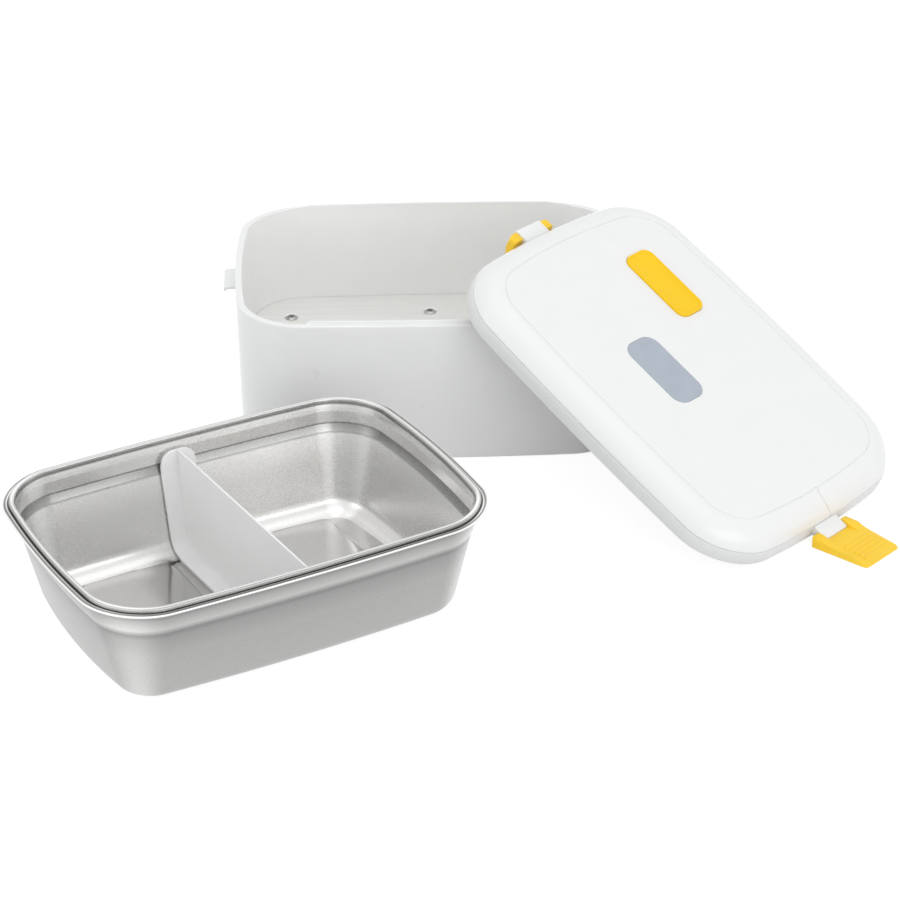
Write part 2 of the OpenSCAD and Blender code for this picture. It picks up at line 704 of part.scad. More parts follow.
// a latch in its own frame: pin axis along Y through the origin, tip towards +X, outer face up
module latch() {
    notch_x = knuckle_r + loose;
    side = [[-ear_back, -latch_under], [latch_l - 1, -latch_under], [latch_l, -latch_under + 0.8],
        [latch_l - 0.6, -latch_under + latch_tip_t], [notch_end, plate_top - 0.6], [notch_x, plate_top], [-ear_back, plate_top]];
    cheek = [[-ear_back, -latch_under], [notch_end, -latch_under], [notch_end, plate_top - 0.6], [8, plate_top + 0.9],
        [3, ear_r - 0.9], [1, ear_r], [-ear_back + 1, ear_r], [-ear_back, ear_r - 1.6]];
    color("gold") difference() {
        intersection() {
            rotate([90, 0, 0]) linear_extrude(latch_w, center = true) {
                polygon(side);
                polygon(cheek);
            }
            translate([0, 0, -10]) linear_extrude(20) latch_outline();
            rotate([90, 0, 90]) linear_extrude(3 * latch_l, center = true) latch_front();
        }
        translate([-10, -knuckle_w / 2 - loose, -10]) cube([10 + notch_x, knuckle_w + 2 * loose, 20]);
        translate([notch_x - 1, -knuckle_w / 2 - loose, plate_top]) cube([notch_end - notch_x + 1, knuckle_w + 2 * loose, 10]);
        translate([catch_top_drop - 2 * loose, -pocket_w / 2, -latch_under - 1])
            cube([catch_t + 3 * loose, pocket_w, latch_under + 1 - pocket_depth]);
        rotate([90, 0, 0]) cylinder(r = hinge_pin_r + running, h = hinge_pin_l + 2 * loose, center = true);
        grip_grooves();
    }
}

// the latch seen from its hinge: the ears' outer edges fall away in a dome
module latch_front() {
    half = latch_w / 2;
    right = [[half, -latch_under - 1], [half, -0.5], [half - 0.6, 1.2], [half - 2, 2.6], [half - 4.5, ear_r]];
    polygon(concat(right, [for (i = [len(right) - 1:-1:0]) [-right[i][0], right[i][1]]]));
}

module latch_outline() {
    tip_r = 4;
    back_r = 1.2;
    hull() {
        for (s = [-1, 1]) translate([back_r - ear_back, s * (latch_w / 2 - back_r)]) circle(back_r, $fn = 32);
        for (s = [-1, 1]) translate([latch_l - tip_r, s * (latch_tip_w / 2 - tip_r)]) circle(tip_r, $fn = 32);
    }
}

module grip_grooves() {
    slope = atan((plate_top - 0.6 + latch_under - latch_tip_t) / (latch_l - 0.6 - notch_end));
    if (grip_count > 0) translate([notch_end, 0, plate_top - 0.6]) rotate([0, slope, 0])
        for (i = [0:grip_count - 1]) translate([i * grip_pitch, 0, 0]) cube([1.4, latch_tip_w - 9, 0.6], center = true);
}

module at_hinge(s) {
    at_lid() translate([s * pivot_x, latch_y, hinge_z]) children();
}

// folded out flat on the table
module near_latch() {
    at_hinge(1) rotate([0, -lid_lean, 0]) latch();
}

// hanging down beside the lid's raised end
module far_latch() {
    at_hinge(-1) rotate([0, 0, 180]) rotate([0, 90, 0]) latch();
}

module hinge_pin(s) {
    color("silver") at_hinge(s) rotate([90, 0, 0]) cylinder(r = hinge_pin_r, h = hinge_pin_l, center = true);
}

module at_tray() {
    translate([tray_x, tray_y, 0]) rotate(tray_turn) children();
}

// raised floor panels of the tray
module panels(grow) {
    for (s = [-1, 1]) translate([s * (panel_gap + panel_l) / 2, 0]) hull()
        for (sx = [-1, 1]) for (sy = [-1, 1])
            translate([sx * (panel_l / 2 - 6), sy * (panel_w / 2 - 6)]) circle(6 + grow, $fn = 32);
}

// the steel tray: rounded floor, stepped wall, flange and sealing bead
module tray() {
    bead_out = bead_inset - bead_w;
    rows = concat(
        [for (k = [FOOT_STEPS:-1:0]) [foot_centre - tray_foot_r * cos(foot_angle(k)), tray_foot_r * (1 - sin(foot_angle(k)))]],
        [[wall_inset, shoulder_low], [shoulder_inset, shoulder_top], [tray_inset, flange_low],
         [0.3, flange_low], [0, flange_low + 0.3], [0, tray_h - 0.3], [0.3, tray_h],
         [bead_out - 1.1, tray_h - 0.1], [bead_out - 0.6, tray_h - 0.6], [bead_out - 0.1, tray_h - 0.4],
         [bead_out + 0.4, tray_h + bead_h - 0.6], [bead_out + 1.2, tray_h + bead_h],
         [bead_inset - 0.8, tray_h + bead_h], [bead_inset, tray_h + bead_h - 0.8], [bead_inset, tray_h - 2.5],
         [shoulder_inset + sheet_t, tray_h - 4.5], [shoulder_inset + sheet_t, shoulder_top + 0.1],
         [wall_inset + sheet_t, shoulder_low + 0.1]],
        [for (k = [0:FOOT_STEPS]) [foot_centre - inner_foot_r * cos(foot_angle(k)), sheet_t + inner_foot_r * (1 - sin(foot_angle(k)))]]);
    color("silver") at_tray() difference() {
        union() {
            loft(rows, tray_over);
            translate([0, 0, sheet_t - 0.1]) linear_extrude(panel_h + 0.1) panels(0);
        }
        translate([0, 0, -1]) linear_extrude(1 + panel_h) panels(-sheet_t);
    }
}

// a web across the tray on a strip that follows the walls and the floor
module divider() {
    function strip_y(inset) = case_w / 2 + tray_over - inset;
    half = strip_w / 2;
    gap = divider_gap + half * sin(divider_turn) + bow_long * pow(2 * (half + abs(divider_x) + 3) / case_l, 2);
    out = [for (p = [[bead_inset, web_top - 1], [wall_inset + sheet_t, shoulder_low]]) [strip_y(p[0]) - gap, p[1]]];
    arc = [for (k = [0:FOOT_STEPS])
        [strip_y(foot_centre) + (inner_foot_r - gap) * cos(foot_angle(k)),
         sheet_t + inner_foot_r - (inner_foot_r - gap) * sin(foot_angle(k))]];
    right = concat(out, arc, [[strip_y(foot_centre) - 1.5, sheet_t]]);
    left = [for (i = [len(right) - 1:-1:0]) [-right[i][0], right[i][1]]];
    inner_right = [for (p = right) [p[0] - strip_t, max(p[1], sheet_t + strip_t)]];
    color("white", 0.6) at_tray() rotate(divider_turn) translate([divider_x, 0, 0]) rotate([90, 0, 90]) {
        linear_extrude(strip_w, center = true) difference() {
            polygon(concat(right, left));
            polygon(concat([[inner_right[0][0], web_top + 1]], inner_right,
                [for (i = [len(inner_right) - 1:-1:0]) [-inner_right[i][0], inner_right[i][1]]], [[-inner_right[0][0], web_top + 1]]));
        }
        linear_extrude(web_t, center = true)
            polygon(concat([[right[0][0] - 2, web_top]], right, left, [[-right[0][0] + 2, web_top]]));
    }
}

outer_case();
foot_ring();
insulation_pad();
inner_liner();
heating_plate();
plate_screw(0);  // plate_screw_1
plate_screw(1);  // plate_screw_2
plate_screw(2);  // plate_screw_3
plate_screw(3);  // plate_screw_4
plate_screw(4);  // plate_screw_5
plate_screw(5);  // plate_screw_6
base_screw(0);  // base_screw_1
base_screw(1);  // base_screw_2
base_screw(2);  // base_screw_3
base_screw(3);  // base_screw_4
heater(-1);  // heater_1
heater(1);  // heater_2
heater_clamp(-1);  // heater_clamp_1
heater_clamp(1);  // heater_clamp_2
clamp_screw(0);  // clamp_screw_1
clamp_screw(1);  // clamp_screw_2
clamp_screw(2);  // clamp_screw_3
clamp_screw(3);  // clamp_screw_4
thermostat();
thermal_fuse();
inlet_housing();
inlet_pin(-1);  // inlet_pin_1
inlet_pin(1);  // inlet_pin_2
lead();  // lead_1
mirror([1, 0, 0]) lead();  // lead_2
lid_cover();
lid_base();
lid_gasket();
lid_inlay();
vent_plug();
near_latch();
far_latch();
hinge_pin(1);  // near_hinge_pin
hinge_pin(-1);  // far_hinge_pin
tray();
divider();
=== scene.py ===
import json
from math import asin, atan, copysign, cos, dist, pi, radians, sin, sqrt, tan
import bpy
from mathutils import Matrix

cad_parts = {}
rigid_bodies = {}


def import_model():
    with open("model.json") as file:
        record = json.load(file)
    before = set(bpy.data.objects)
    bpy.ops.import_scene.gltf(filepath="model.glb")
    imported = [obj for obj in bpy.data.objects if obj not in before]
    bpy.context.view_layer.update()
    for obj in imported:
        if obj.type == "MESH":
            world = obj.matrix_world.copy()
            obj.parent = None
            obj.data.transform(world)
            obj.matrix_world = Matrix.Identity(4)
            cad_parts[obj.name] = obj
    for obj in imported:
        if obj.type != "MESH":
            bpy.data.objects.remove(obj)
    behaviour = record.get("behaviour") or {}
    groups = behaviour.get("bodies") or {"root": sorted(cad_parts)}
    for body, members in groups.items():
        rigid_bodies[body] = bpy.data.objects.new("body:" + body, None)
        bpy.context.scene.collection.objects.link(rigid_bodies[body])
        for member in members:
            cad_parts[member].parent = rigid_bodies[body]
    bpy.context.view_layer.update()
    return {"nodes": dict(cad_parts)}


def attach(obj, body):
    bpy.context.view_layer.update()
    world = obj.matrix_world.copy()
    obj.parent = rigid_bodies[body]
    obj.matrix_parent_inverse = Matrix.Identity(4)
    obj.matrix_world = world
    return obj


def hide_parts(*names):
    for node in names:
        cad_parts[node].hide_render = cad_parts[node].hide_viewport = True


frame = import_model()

from types import SimpleNamespace

import bmesh
import bpy
from mathutils import Matrix, Vector

bl_info = {
    "name": "Electric Lunch Box",
    "version": (1, 0, 0),
    "blender": (4, 5, 0),
    "location": "View3D > Sidebar > Lunch Box",
    "description": "Heated lunch box with a steel tray, a divider and a latched lid",
    "category": "Add Mesh",
}


def at(x, y, z=0.0):
    return Matrix.Translation((x, y, z))


def turned(angle, axis="Z"):
    return Matrix.Rotation(angle, 4, axis)


# Fixed sizes and places are in millimetres, in the frame of the case, the tray, the lid or a latch.
MM = 0.001
STEPS, FINE_STEPS, ROD_STEPS = 20, 28, 32
SMOOTH_ANGLE = radians(32)

# case, liner and heating plate
CASE_BASE, CASE_EDGE, CASE_FLOOR, CASE_WALL = 0.4, 1.2, 2.9, 2.2
INLET_Z, INLET_L, INLET_H = 14, 24.2, 13.2
BASE_SCREWS = [(66, 50), (-66, 50), (-66, -50), (66, -50)]
WELL_R, WELL_TOP = 3.1, 8
FOOT_OUT, FOOT_IN, FOOT_DEPTH = 13.9, 22.1, 1.2
TAB_LOW, TAB_TOP, TAB_REACH = 78.4, 81.4, 6.8
LINER_TOP, LINER_SEAT, LINER_FLOOR, LINER_DRAFT, LINER_WALL = 86.0, 26.5, 24.5, 1.4, 1.4
HEATER_X, HEATER_BAY, THERMOSTAT_R = 45, (60.4, 30.4, 8), 8.2
LIP_TOP, LIP_HALF, LIP_T, LIP_RUN, LIP_EDGE = 90.2, 73.0, 1.6, 16.5, 0.35
PLATE_TOP, DISH_DEPTH, DISH_R, DISH_RIM_R, BORE_R = 28.0, 0.9, 4.0, 4.9, 1.6
PLATE_SCREWS = [(86, 50), (-86, 50), (-86, -50), (86, -50), (0, 55), (0, -55)]
HEAD_H, SHAFT_R, SHAFT_L, SLOT_W = 1.6, 1.5, 8, 0.9

# tray and divider
TRAY_PLACE = at(-107.27, -236.41) @ turned(radians(27.14))
TRAY_OVER, TRAY_INSET, SHEET, SHOULDER_TOP, SHOULDER_LOW = 0.8, 5.8, 0.8, 52.0, 47.0
SHOULDER_INSET, WALL_INSET, FOOT_R, SLOPE = 6.4, 8.0, 12.0, radians(12.3)
FOOT_CENTRE = WALL_INSET + (SHOULDER_LOW - FOOT_R * (1 - sin(SLOPE))) * tan(SLOPE) + FOOT_R * cos(SLOPE)
FOOT_ANGLES = [SLOPE + (pi / 2 - SLOPE) * k / 12 for k in range(13)]
PANEL_X, PANEL_L, PANEL_W, PANEL_R, PANEL_EDGE = 48.5, 55, 113, 8, 1.6
# Painted reflection tones of the steel: painted shade on the outer foot and wall, and a bright inner wall.
FOOT_PAINTED_SHADE, WALL_PAINTED_REFLECTION, INNER_PAINTED_REFLECTION = 0.40, 0.46, 0.95
DIVIDER_TURN, DIVIDER_X, WEB_TOP, WEB_T, STRIP_T, TONGUE = radians(2.2), -2.2, 59.5, 1.2, 1.6, 8.0

# lid and vent plug
LID_TILT = radians(26.64)
LID_PLACE = at(135.8, -98.1, 55.1) @ turned(radians(-44.75)) @ turned(LID_TILT, "Y")
LID_OVER, LID_H, ROLL_R, SEAM_Z, SEAM_GAP, COVER_T, SKIRT_T = 2.8, 19.5, 16.0, 8.5, 0.3, 1.8, 1.6
ROLL_Z = LID_H - ROLL_R
BORDER_INSET, GROOVE_DEPTH = 15.6, 0.5
BASE_TOP, BASE_UNDER, LID_FLANGE_Z, PLATE_INSET = 12.9, 11.3, 7.3, 7.2
PRY_X, PRY_L, PRY_H = 7.35, 9.9, 1.6
VENT_X, VENT_Y, VENT_L, VENT_W, VENT_R, VENT_RISE, STEM_R = -50.4, 32.6, 51.0, 21.3, 6.0, 1.5, 3.0
INLAY_X, INLAY_Y, INLAY_L, INLAY_W, INLAY_R = -2.4, -18.6, 48.4, 23.9, 8.0
RECESS, VENT_GAP, INLAY_GAP, STEM_GAP = 0.8, 0.3, 0.25, 0.3

# hinges and latches
PIVOT_X, LATCH_Y, HINGE_Z, CATCH_W = 126.0, -2.4, 6.0, 25.0
KNUCKLE_R, KNUCKLE_HALF, KNUCKLE_W = 4.0, 2.8, 19.8
LATCH_W, LATCH_TIP_W, LATCH_L, LATCH_Z, UNDER, TIP_T = 34.0, 31.0, 36.0, 0.2, 3.6, 1.6
EAR_BACK, EAR_TOP, NOTCH_X, NOTCH_END, NOTCH_W = 1.9, 3.6, 4.3, 14.6, 20.4
POCKET_X, POCKET_L, POCKET_H, RIB_R = 9.85, 3.9, 4.4, 1.5

# stage: the floor in millimetres, the camera in metres
FLOOR_HALF = 6000
CAMERA_PLACE, CAMERA_AZIMUTH, CAMERA_DROP = (-0.05192, -1.59458, 0.84848), radians(2.234), radians(29.119)
SENSOR_WIDTH, FOCAL_PIXELS, IMAGE_PIXELS = 36.0, 2961.77, 900


def length(name, text, default):
    return bpy.props.FloatProperty(name=name, description=text, default=default, unit="LENGTH")


def colour(name, text, rgb):
    return bpy.props.FloatVectorProperty(name=name, description=text, default=rgb, subtype="COLOR",
                                         size=3, min=0, max=1)


class LunchBoxSizes(bpy.types.PropertyGroup):
    case_length: length("Case length", "Length of the case at its rim", 0.235)
    case_width: length("Case width", "Width of the case at its rim", 0.169)
    case_height: length("Case height", "Height of the rim above the table", 0.088)
    corner: length("Corner radius", "Radius of the outline's corners", 0.0335)
    bow_long: length("Side bow", "How far the long sides bow out", 0.003)
    bow_end: length("End bow", "How far the short ends bow out", 0.006)
    draft: length("Case draft", "How far the case narrows to its base", 0.0014)
    rim: length("Rim width", "Width of the case rim", 0.004)
    tray_height: length("Tray height", "Height of the tray's flange", 0.0635)
    bead_height: length("Bead height", "Height of the tray's bead", 0.002)
    panel_height: length("Floor panels", "Height of the tray's floor panels", 0.0012)
    strip_width: length("Divider strip", "Width of the divider's strip", 0.021)
    screw_head: length("Screw head radius", "Radius of the plate screws' heads", 0.0037)
    grip_pitch: length("Grip pitch", "Distance between grip ribs", 0.0034)
    grip_ribs: bpy.props.IntProperty(name="Grip ribs", description="Number of ribs on each latch",
                                     default=5, min=1, max=7)


class LunchBoxColours(bpy.types.PropertyGroup):
    shell: colour("Shell", "White plastic of the case and lid", (0.86, 0.86, 0.85))
    # The skirt's colour is the shell's white made darker: painted shade on the lid's skirt.
    skirt: colour("Skirt", "Slightly duller plastic of the lid's skirt", (0.76, 0.76, 0.755))
    liner: colour("Liner", "Off-white plastic of the inner tub", (0.88, 0.88, 0.87))
    yellow: colour("Yellow", "Yellow plastic of the latches", (0.97, 0.62, 0.02))
    vent: colour("Vent yellow", "Brighter yellow of the vent plug", (0.96, 0.60, 0.004))
    inlay: colour("Inlay", "Grey inlay in the lid", (0.41, 0.455, 0.515))
    steel: colour("Steel", "Brushed steel of the tray", (0.97, 0.965, 0.955))
    plate: colour("Plate", "Aluminium of the heating plate", (0.97, 0.97, 0.96))
    divider: colour("Divider", "Milky plastic of the divider", (0.99, 0.985, 0.98))


def mm_sizes():
    """The user's sizes in millimetres, and counts as they are."""
    group = bpy.context.scene.lunch_sizes
    values = {key: getattr(group, key) for key in LunchBoxSizes.__annotations__}
    return SimpleNamespace(**{k: v if isinstance(v, int) else v / MM for k, v in values.items()})


def hue(name):
    return tuple(getattr(bpy.context.scene.lunch_colours, name))


# ---------------------------------------------------------------- materials

MATERIALS = {}


def add_node(tree, kind, inputs=(), **settings):
    """Adds a node. A socket, or each socket of a list, is linked to its input; any other value is set."""
    node = tree.nodes.new(kind)
    for key, value in settings.items():
        setattr(node, key, value)
    for key, value in dict(inputs).items():
        for item in value if isinstance(value, list) else [value]:
            if isinstance(item, bpy.types.NodeSocket):
                tree.links.new(item, node.inputs[key])
            else:
                node.inputs[key].default_value = item
    return node


def maths(tree, how, a, b):
    return add_node(tree, "ShaderNodeMath", {0: a, 1: b}, operation=how).outputs[0]


def empty_tree(owner):
    owner.use_nodes = True
    owner.node_tree.nodes.clear()
    return owner.node_tree


def surface(key, label, rgb, roughness, metallic=0.0, tone=0.03, scale=60, spread=0.04, bump=0.02,
            grain=900, source="Object", band=None, **fixed):
    """A finish with a slow change of tone and roughness and a fine grain.

    A band is an attribute of the mesh that scales the colour: painted reflection, with painted highlights and
    painted shade.
    """
    material = bpy.data.materials.new(label)
    tree = empty_tree(material)
    coordinates = add_node(tree, "ShaderNodeTexCoord").outputs[source]

    def noise(size, detail):
        sizes = size if isinstance(size, tuple) else (size, size, size)
        mapping = add_node(tree, "ShaderNodeMapping", {"Vector": coordinates, "Scale": sizes})
        return add_node(tree, "ShaderNodeTexNoise", {
            "Vector": mapping.outputs["Vector"], "Scale": 1.0, "Detail": detail}).outputs["Fac"]

    slow, fine = noise(scale, 3.0), noise(grain, 2.0)
    ramp = add_node(tree, "ShaderNodeValToRGB", {"Fac": slow})
    for stop, position, factor in zip(ramp.color_ramp.elements, (0.3, 0.7), (1 - tone, 1 + tone)):
        stop.position = position
        stop.color = tuple(min(c * factor, 1) for c in rgb) + (1,)
    tint = ramp.outputs["Color"]
    if band:
        value = add_node(tree, "ShaderNodeAttribute", attribute_name=band).outputs["Fac"]
        painted_light = add_node(tree, "ShaderNodeVectorMath", {0: tint, "Scale": value}, operation="SCALE")
        tint = painted_light.outputs["Vector"]
    spreader = add_node(tree, "ShaderNodeMapRange", {
        "Value": fine if metallic else slow, "From Min": 0.3, "From Max": 0.7,
        "To Min": roughness - spread, "To Max": roughness + spread})
    relief = add_node(tree, "ShaderNodeBump", {"Strength": bump, "Distance": 0.0002, "Height": fine})
    shader = add_node(tree, "ShaderNodeBsdfPrincipled", {
        "Base Color": tint, "Roughness": spreader.outputs["Result"], "Normal": relief.outputs["Normal"],
        "Metallic": metallic})
    for name, value in fixed.items():
        shader.inputs[name.replace("_", " ")].default_value = value
    add_node(tree, "ShaderNodeOutputMaterial", {"Surface": shader.outputs["BSDF"]})
    MATERIALS[key] = material


def make_materials():
    glossy = dict(tone=0.006, spread=0.03)
    surface("gloss_white", "gloss white plastic", hue("shell"), 0.22, bump=0.01, **glossy)
    # Painted shade: a darker copy of the shell's white for the lid's skirt and base.
    surface("shaded_skirt_white", "skirt plastic", hue("skirt"), 0.3, bump=0.01, **glossy)
    surface("case_white", "case white plastic", hue("shell"), 0.3, bump=0.015, **glossy)
    surface("matt_white", "matt white plastic", hue("shell"), 0.5, tone=0.008, spread=0.05, bump=0.06,
            grain=2500)
    surface("liner_white", "liner plastic", hue("liner"), 0.38, tone=0.01, bump=0.03, grain=1600)
    surface("yellow", "yellow plastic", hue("yellow"), 0.4, spread=0.05, bump=0.05, grain=1800)
    surface("vent_yellow", "bright yellow plastic", hue("vent"), 0.42, tone=0.02, spread=0.05, bump=0.05,
            grain=1800, Specular_IOR_Level=0.3)
    surface("inlay", "grey inlay", hue("inlay"), 0.42, scale=90, spread=0.05, bump=0.04)
    brushed = dict(metallic=1.0, tone=0.02, scale=(300, 1500, 1), grain=(900, 3200, 1), source="UV")
    # The steel's colour is scaled by the tray's painted reflection attribute: painted highlights and painted
    # shade.
    surface("steel", "brushed steel", hue("steel"), 0.26, bump=0.03, band="sheen", **brushed)
    surface("steel_floor", "polished steel floor", (0.58, 0.575, 0.565), 0.14, spread=0.03, **brushed)
    surface("plate", "satin aluminium", hue("plate"), 0.42, metallic=0.9, scale=(8, 500, 500),
            grain=(30, 4500, 4500), spread=0.05, bump=0.05)
    surface("screw", "screw steel", (0.5, 0.5, 0.49), 0.22, metallic=1.0, tone=0.04, scale=300, bump=0.05)
    surface("divider", "milky plastic", hue("divider"), 0.34, tone=0.01, bump=0.03,
            Transmission_Weight=0.1, IOR=1.2)
    surface("gasket", "gasket silicone", (0.72, 0.73, 0.73), 0.55, bump=0.05)
    surface("foot", "foot silicone", (0.12, 0.12, 0.125), 0.7, tone=0.08, bump=0.1)
    surface("black", "black plastic", (0.03, 0.03, 0.032), 0.42, tone=0.1, bump=0.06)
    surface("brass", "brass pin", (0.75, 0.55, 0.25), 0.25, metallic=1.0, tone=0.05)
    surface("felt", "insulation felt", (0.62, 0.6, 0.56), 0.9, tone=0.12, scale=400, bump=0.4)
    surface("heater", "heater casing", (0.45, 0.45, 0.45), 0.45, metallic=0.9, tone=0.06)
    surface("strap", "strap steel", (0.55, 0.56, 0.57), 0.35, metallic=1.0, tone=0.05)
    surface("ceramic", "fuse ceramic", (0.78, 0.72, 0.6), 0.5, tone=0.04)
    surface("lead", "lead silicone", (0.5, 0.06, 0.04), 0.5, tone=0.05)


# ---------------------------------------------------------------- meshes

class Shape:
    """Points, faces, UVs and material numbers of a piece, in millimetres."""

    def __init__(self, points, faces=(), uvs=None, marks=None):
        self.points = [Vector(p) for p in points]
        self.faces = faces
        self.uvs = uvs or [[(points[i][0] * MM, points[i][1] * MM) for i in face] for face in faces]
        self.marks = marks or [0] * len(faces)

    def moved(self, matrix):
        self.points = [matrix @ p for p in self.points]
        return self

    def build(self, name, *finishes):
        mesh = bpy.data.meshes.new(name)
        mesh.from_pydata([tuple(p * MM) for p in self.points], [], self.faces)
        layer = mesh.uv_layers.new(name="surface")
        for corner, uv in zip(layer.data, [uv for face in self.uvs for uv in face]):
            corner.uv = uv
        for finish in finishes:
            mesh.materials.append(MATERIALS[finish])
        for polygon, mark in zip(mesh.polygons, self.marks):
            polygon.material_index = mark
        mesh.validate()
        obj = bpy.data.objects.new(name, mesh)
        bpy.context.scene.collection.objects.link(obj)
        return round_shading(obj)


def round_shading(obj):
    obj.data.shade_smooth()
    obj.data.set_sharp_from_angle(angle=SMOOTH_ANGLE)
    return obj


def settle(obj):
    """Turns the object's modifiers into a plain mesh."""
    graph = bpy.context.evaluated_depsgraph_get()
    mesh = bpy.data.meshes.new_from_object(obj.evaluated_get(graph))
    obj.modifiers.clear()
    obj.data = mesh
    return round_shading(obj)


def cut(obj, cutters, how="DIFFERENCE"):
    """Takes shapes or objects away from the object, or joins them to it or keeps what they share."""
    cutters = [c.build("cut") if isinstance(c, Shape) else c for c in cutters]
    for cutter in cutters:
        modifier = obj.modifiers.new("cut", "BOOLEAN")
        modifier.operation = how
        modifier.solver = "EXACT"
        modifier.object = cutter
    settle(obj)
    for cutter in cutters:
        bpy.data.objects.remove(cutter)
    return obj


def bevel(obj, width, segments=3, angle=35):
    modifier = obj.modifiers.new("edge", "BEVEL")
    modifier.width = width * MM
    modifier.segments = segments
    modifier.limit_method = "ANGLE"
    modifier.angle_limit = radians(angle)
    modifier.harden_normals = False
    return settle(obj)


def merge(target, others):
    """Adds the other objects' meshes to the target's, and removes them."""
    with bpy.context.temp_override(active_object=target, selected_editable_objects=[target] + others):
        bpy.ops.object.join()
    return target


def outward(obj):
    """Turns every face outwards."""
    work = bmesh.new()
    work.from_mesh(obj.data)
    bmesh.ops.recalc_face_normals(work, faces=work.faces)
    work.to_mesh(obj.data)
    work.free()
    return obj


def put(obj, matrix):
    """Moves a piece's mesh by a placing that is in millimetres."""
    matrix = matrix.copy()
    matrix.translation = matrix.translation * MM
    obj.data.transform(matrix)


def carried(piece, body, slot_name, *nodes):
    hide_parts(*nodes)
    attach(piece, body)


def ring(size, inset=0.0, over=0.0, steps=STEPS):
    """The outline of case, tray and lid: a rounded rectangle with bowed sides."""
    long = size.case_length - 2 * (inset - over)
    wide = size.case_width - 2 * (inset - over)
    r = max(size.corner - inset + over, 1.0)
    centres = [(1, 1), (-1, 1), (-1, -1), (1, -1)]

    def corner_point(q, t):
        angle = pi / 2 * (q + t)
        sx, sy = centres[q]
        return (sx * (long / 2 - r) + r * cos(angle), sy * (wide / 2 - r) + r * sin(angle))

    points = []
    for q in range(4):
        points += [corner_point(q, i / steps) for i in range(steps + 1)]
        a, b = corner_point(q, 1), corner_point((q + 1) % 4, 0)
        for k in range(1, steps):
            points.append((a[0] + (b[0] - a[0]) * k / steps, a[1] + (b[1] - a[1]) * k / steps))
    return [(x * (1 - 2 * size.bow_end / long * (2 * y / wide) ** 2),
             y * (1 - 2 * size.bow_long / wide * (2 * x / long) ** 2)) for x, y in points]


def filleted(rows, steps=4):
    """Rounds the corners of a profile: rows are (inset, z) or (inset, z, radius)."""
    result = []
    for i, row in enumerate(rows):
        radius = row[2] if len(row) > 2 else 0
        point = Vector(row[:2])
        if not radius or i in (0, len(rows) - 1):
            result.append(tuple(point))
            continue
        back, ahead = Vector(rows[i - 1][:2]) - point, Vector(rows[i + 1][:2]) - point
        reach = min(radius / tan(back.angle(ahead) / 2), back.length * 0.49, ahead.length * 0.49)
        a, b = point + back.normalized() * reach, point + ahead.normalized() * reach
        for k in range(steps + 1):
            t = k / steps
            result.append(tuple(a * (1 - t) ** 2 + point * 2 * t * (1 - t) + b * t ** 2))
    return result


def running(points):
    """How far along a chain of points each one lies, in metres."""
    lengths = [0.0]
    for a, b in zip(points, points[1:]):
        lengths.append(lengths[-1] + dist(a, b) * MM)
    return lengths


def loft(size, rows, over=0.0, marks=None, steps=STEPS):
    """A closed shell through (inset, z) rows, with UVs that run along and down its walls.

    Marks give the material number of each band between two rows.
    """
    rings = [ring(size, inset, over, steps) for inset, z in rows]
    n = len(rings[0])
    points = [(x, y, rows[j][1]) for j, r in enumerate(rings) for x, y in r]
    along, down = running(rings[0] + rings[0][:1]), running(rows)

    def flat(face):
        return [(points[i][0] * MM, points[i][1] * MM) for i in face]

    faces = [list(reversed(range(n)))]
    uvs = [flat(faces[0])]
    for j in range(len(rows) - 1):
        for i in range(n):
            k = (i + 1) % n
            faces.append([j * n + i, j * n + k, (j + 1) * n + k, (j + 1) * n + i])
            uvs.append([(along[i], down[j]), (along[i + 1], down[j]),
                        (along[i + 1], down[j + 1]), (along[i], down[j + 1])])
    last = (len(rows) - 1) * n
    faces.append([last + i for i in range(n)])
    uvs.append(flat(faces[-1]))
    if marks:
        marks = [marks[0]] + [m for m in marks for _ in range(n)] + [marks[-1]]
    return Shape(points, faces, uvs, marks)


def stack(profiles):
    """A closed shell through equal closed profiles of points."""
    n = len(profiles[0])
    points = [p for profile in profiles for p in profile]
    faces = [list(reversed(range(n)))]
    for j in range(0, (len(profiles) - 1) * n, n):
        faces += [[j + i, j + (i + 1) % n, j + n + (i + 1) % n, j + n + i] for i in range(n)]
    faces.append([(len(profiles) - 1) * n + i for i in range(n)])
    return Shape(points, faces)


def rounded_rect(long, wide, r, steps=8):
    points = []
    for q, (sx, sy) in enumerate(((1, 1), (-1, 1), (-1, -1), (1, -1))):
        for k in range(steps + 1):
            angle = pi / 2 * (q + k / steps)
            points.append((sx * (long / 2 - r) + r * cos(angle), sy * (wide / 2 - r) + r * sin(angle)))
    return points


def plaque(long, wide, r, rows, x, y):
    """A rounded plate through (growth, z) rows."""
    outlines = [(rounded_rect(long + g, wide + g, r + g / 2, 12), z) for g, z in rows]
    return stack([[(px, py, z) for px, py in outline] for outline, z in outlines]).moved(at(x, y))


def box_shape(centre, dims):
    cx, cy, cz = centre
    x, y, z = (d / 2 for d in dims)
    outline = [(cx + x, cy + y), (cx - x, cy + y), (cx - x, cy - y), (cx + x, cy - y)]
    return stack([[(a, b, cz - z) for a, b in outline], [(a, b, cz + z) for a, b in outline]])


def rod_shape(x, y, rows):
    """A turned upright form through (radius, z) rows."""
    angles = [2 * pi * i / ROD_STEPS for i in range(ROD_STEPS)]
    return stack([[(x + r * cos(a), y + r * sin(a), z) for a in angles] for r, z in rows])


def extruded(profile, width):
    """A bar along y, from a profile of (x, z) points that runs anticlockwise seen from -y."""
    return stack([[(x, y, z) for x, z in reversed(profile)] for y in (-width / 2, width / 2)])


def end_bars(profile, width, finish, edge):
    """A bar with soft edges at each short end, in line with the latches."""
    bars = [extruded(profile, width).moved(at(0, LATCH_Y) @ turned(turn)) for turn in (0, pi)]
    return [bevel(bar.build("bar", finish), edge) for bar in bars]


# ---------------------------------------------------------------- geometry trees

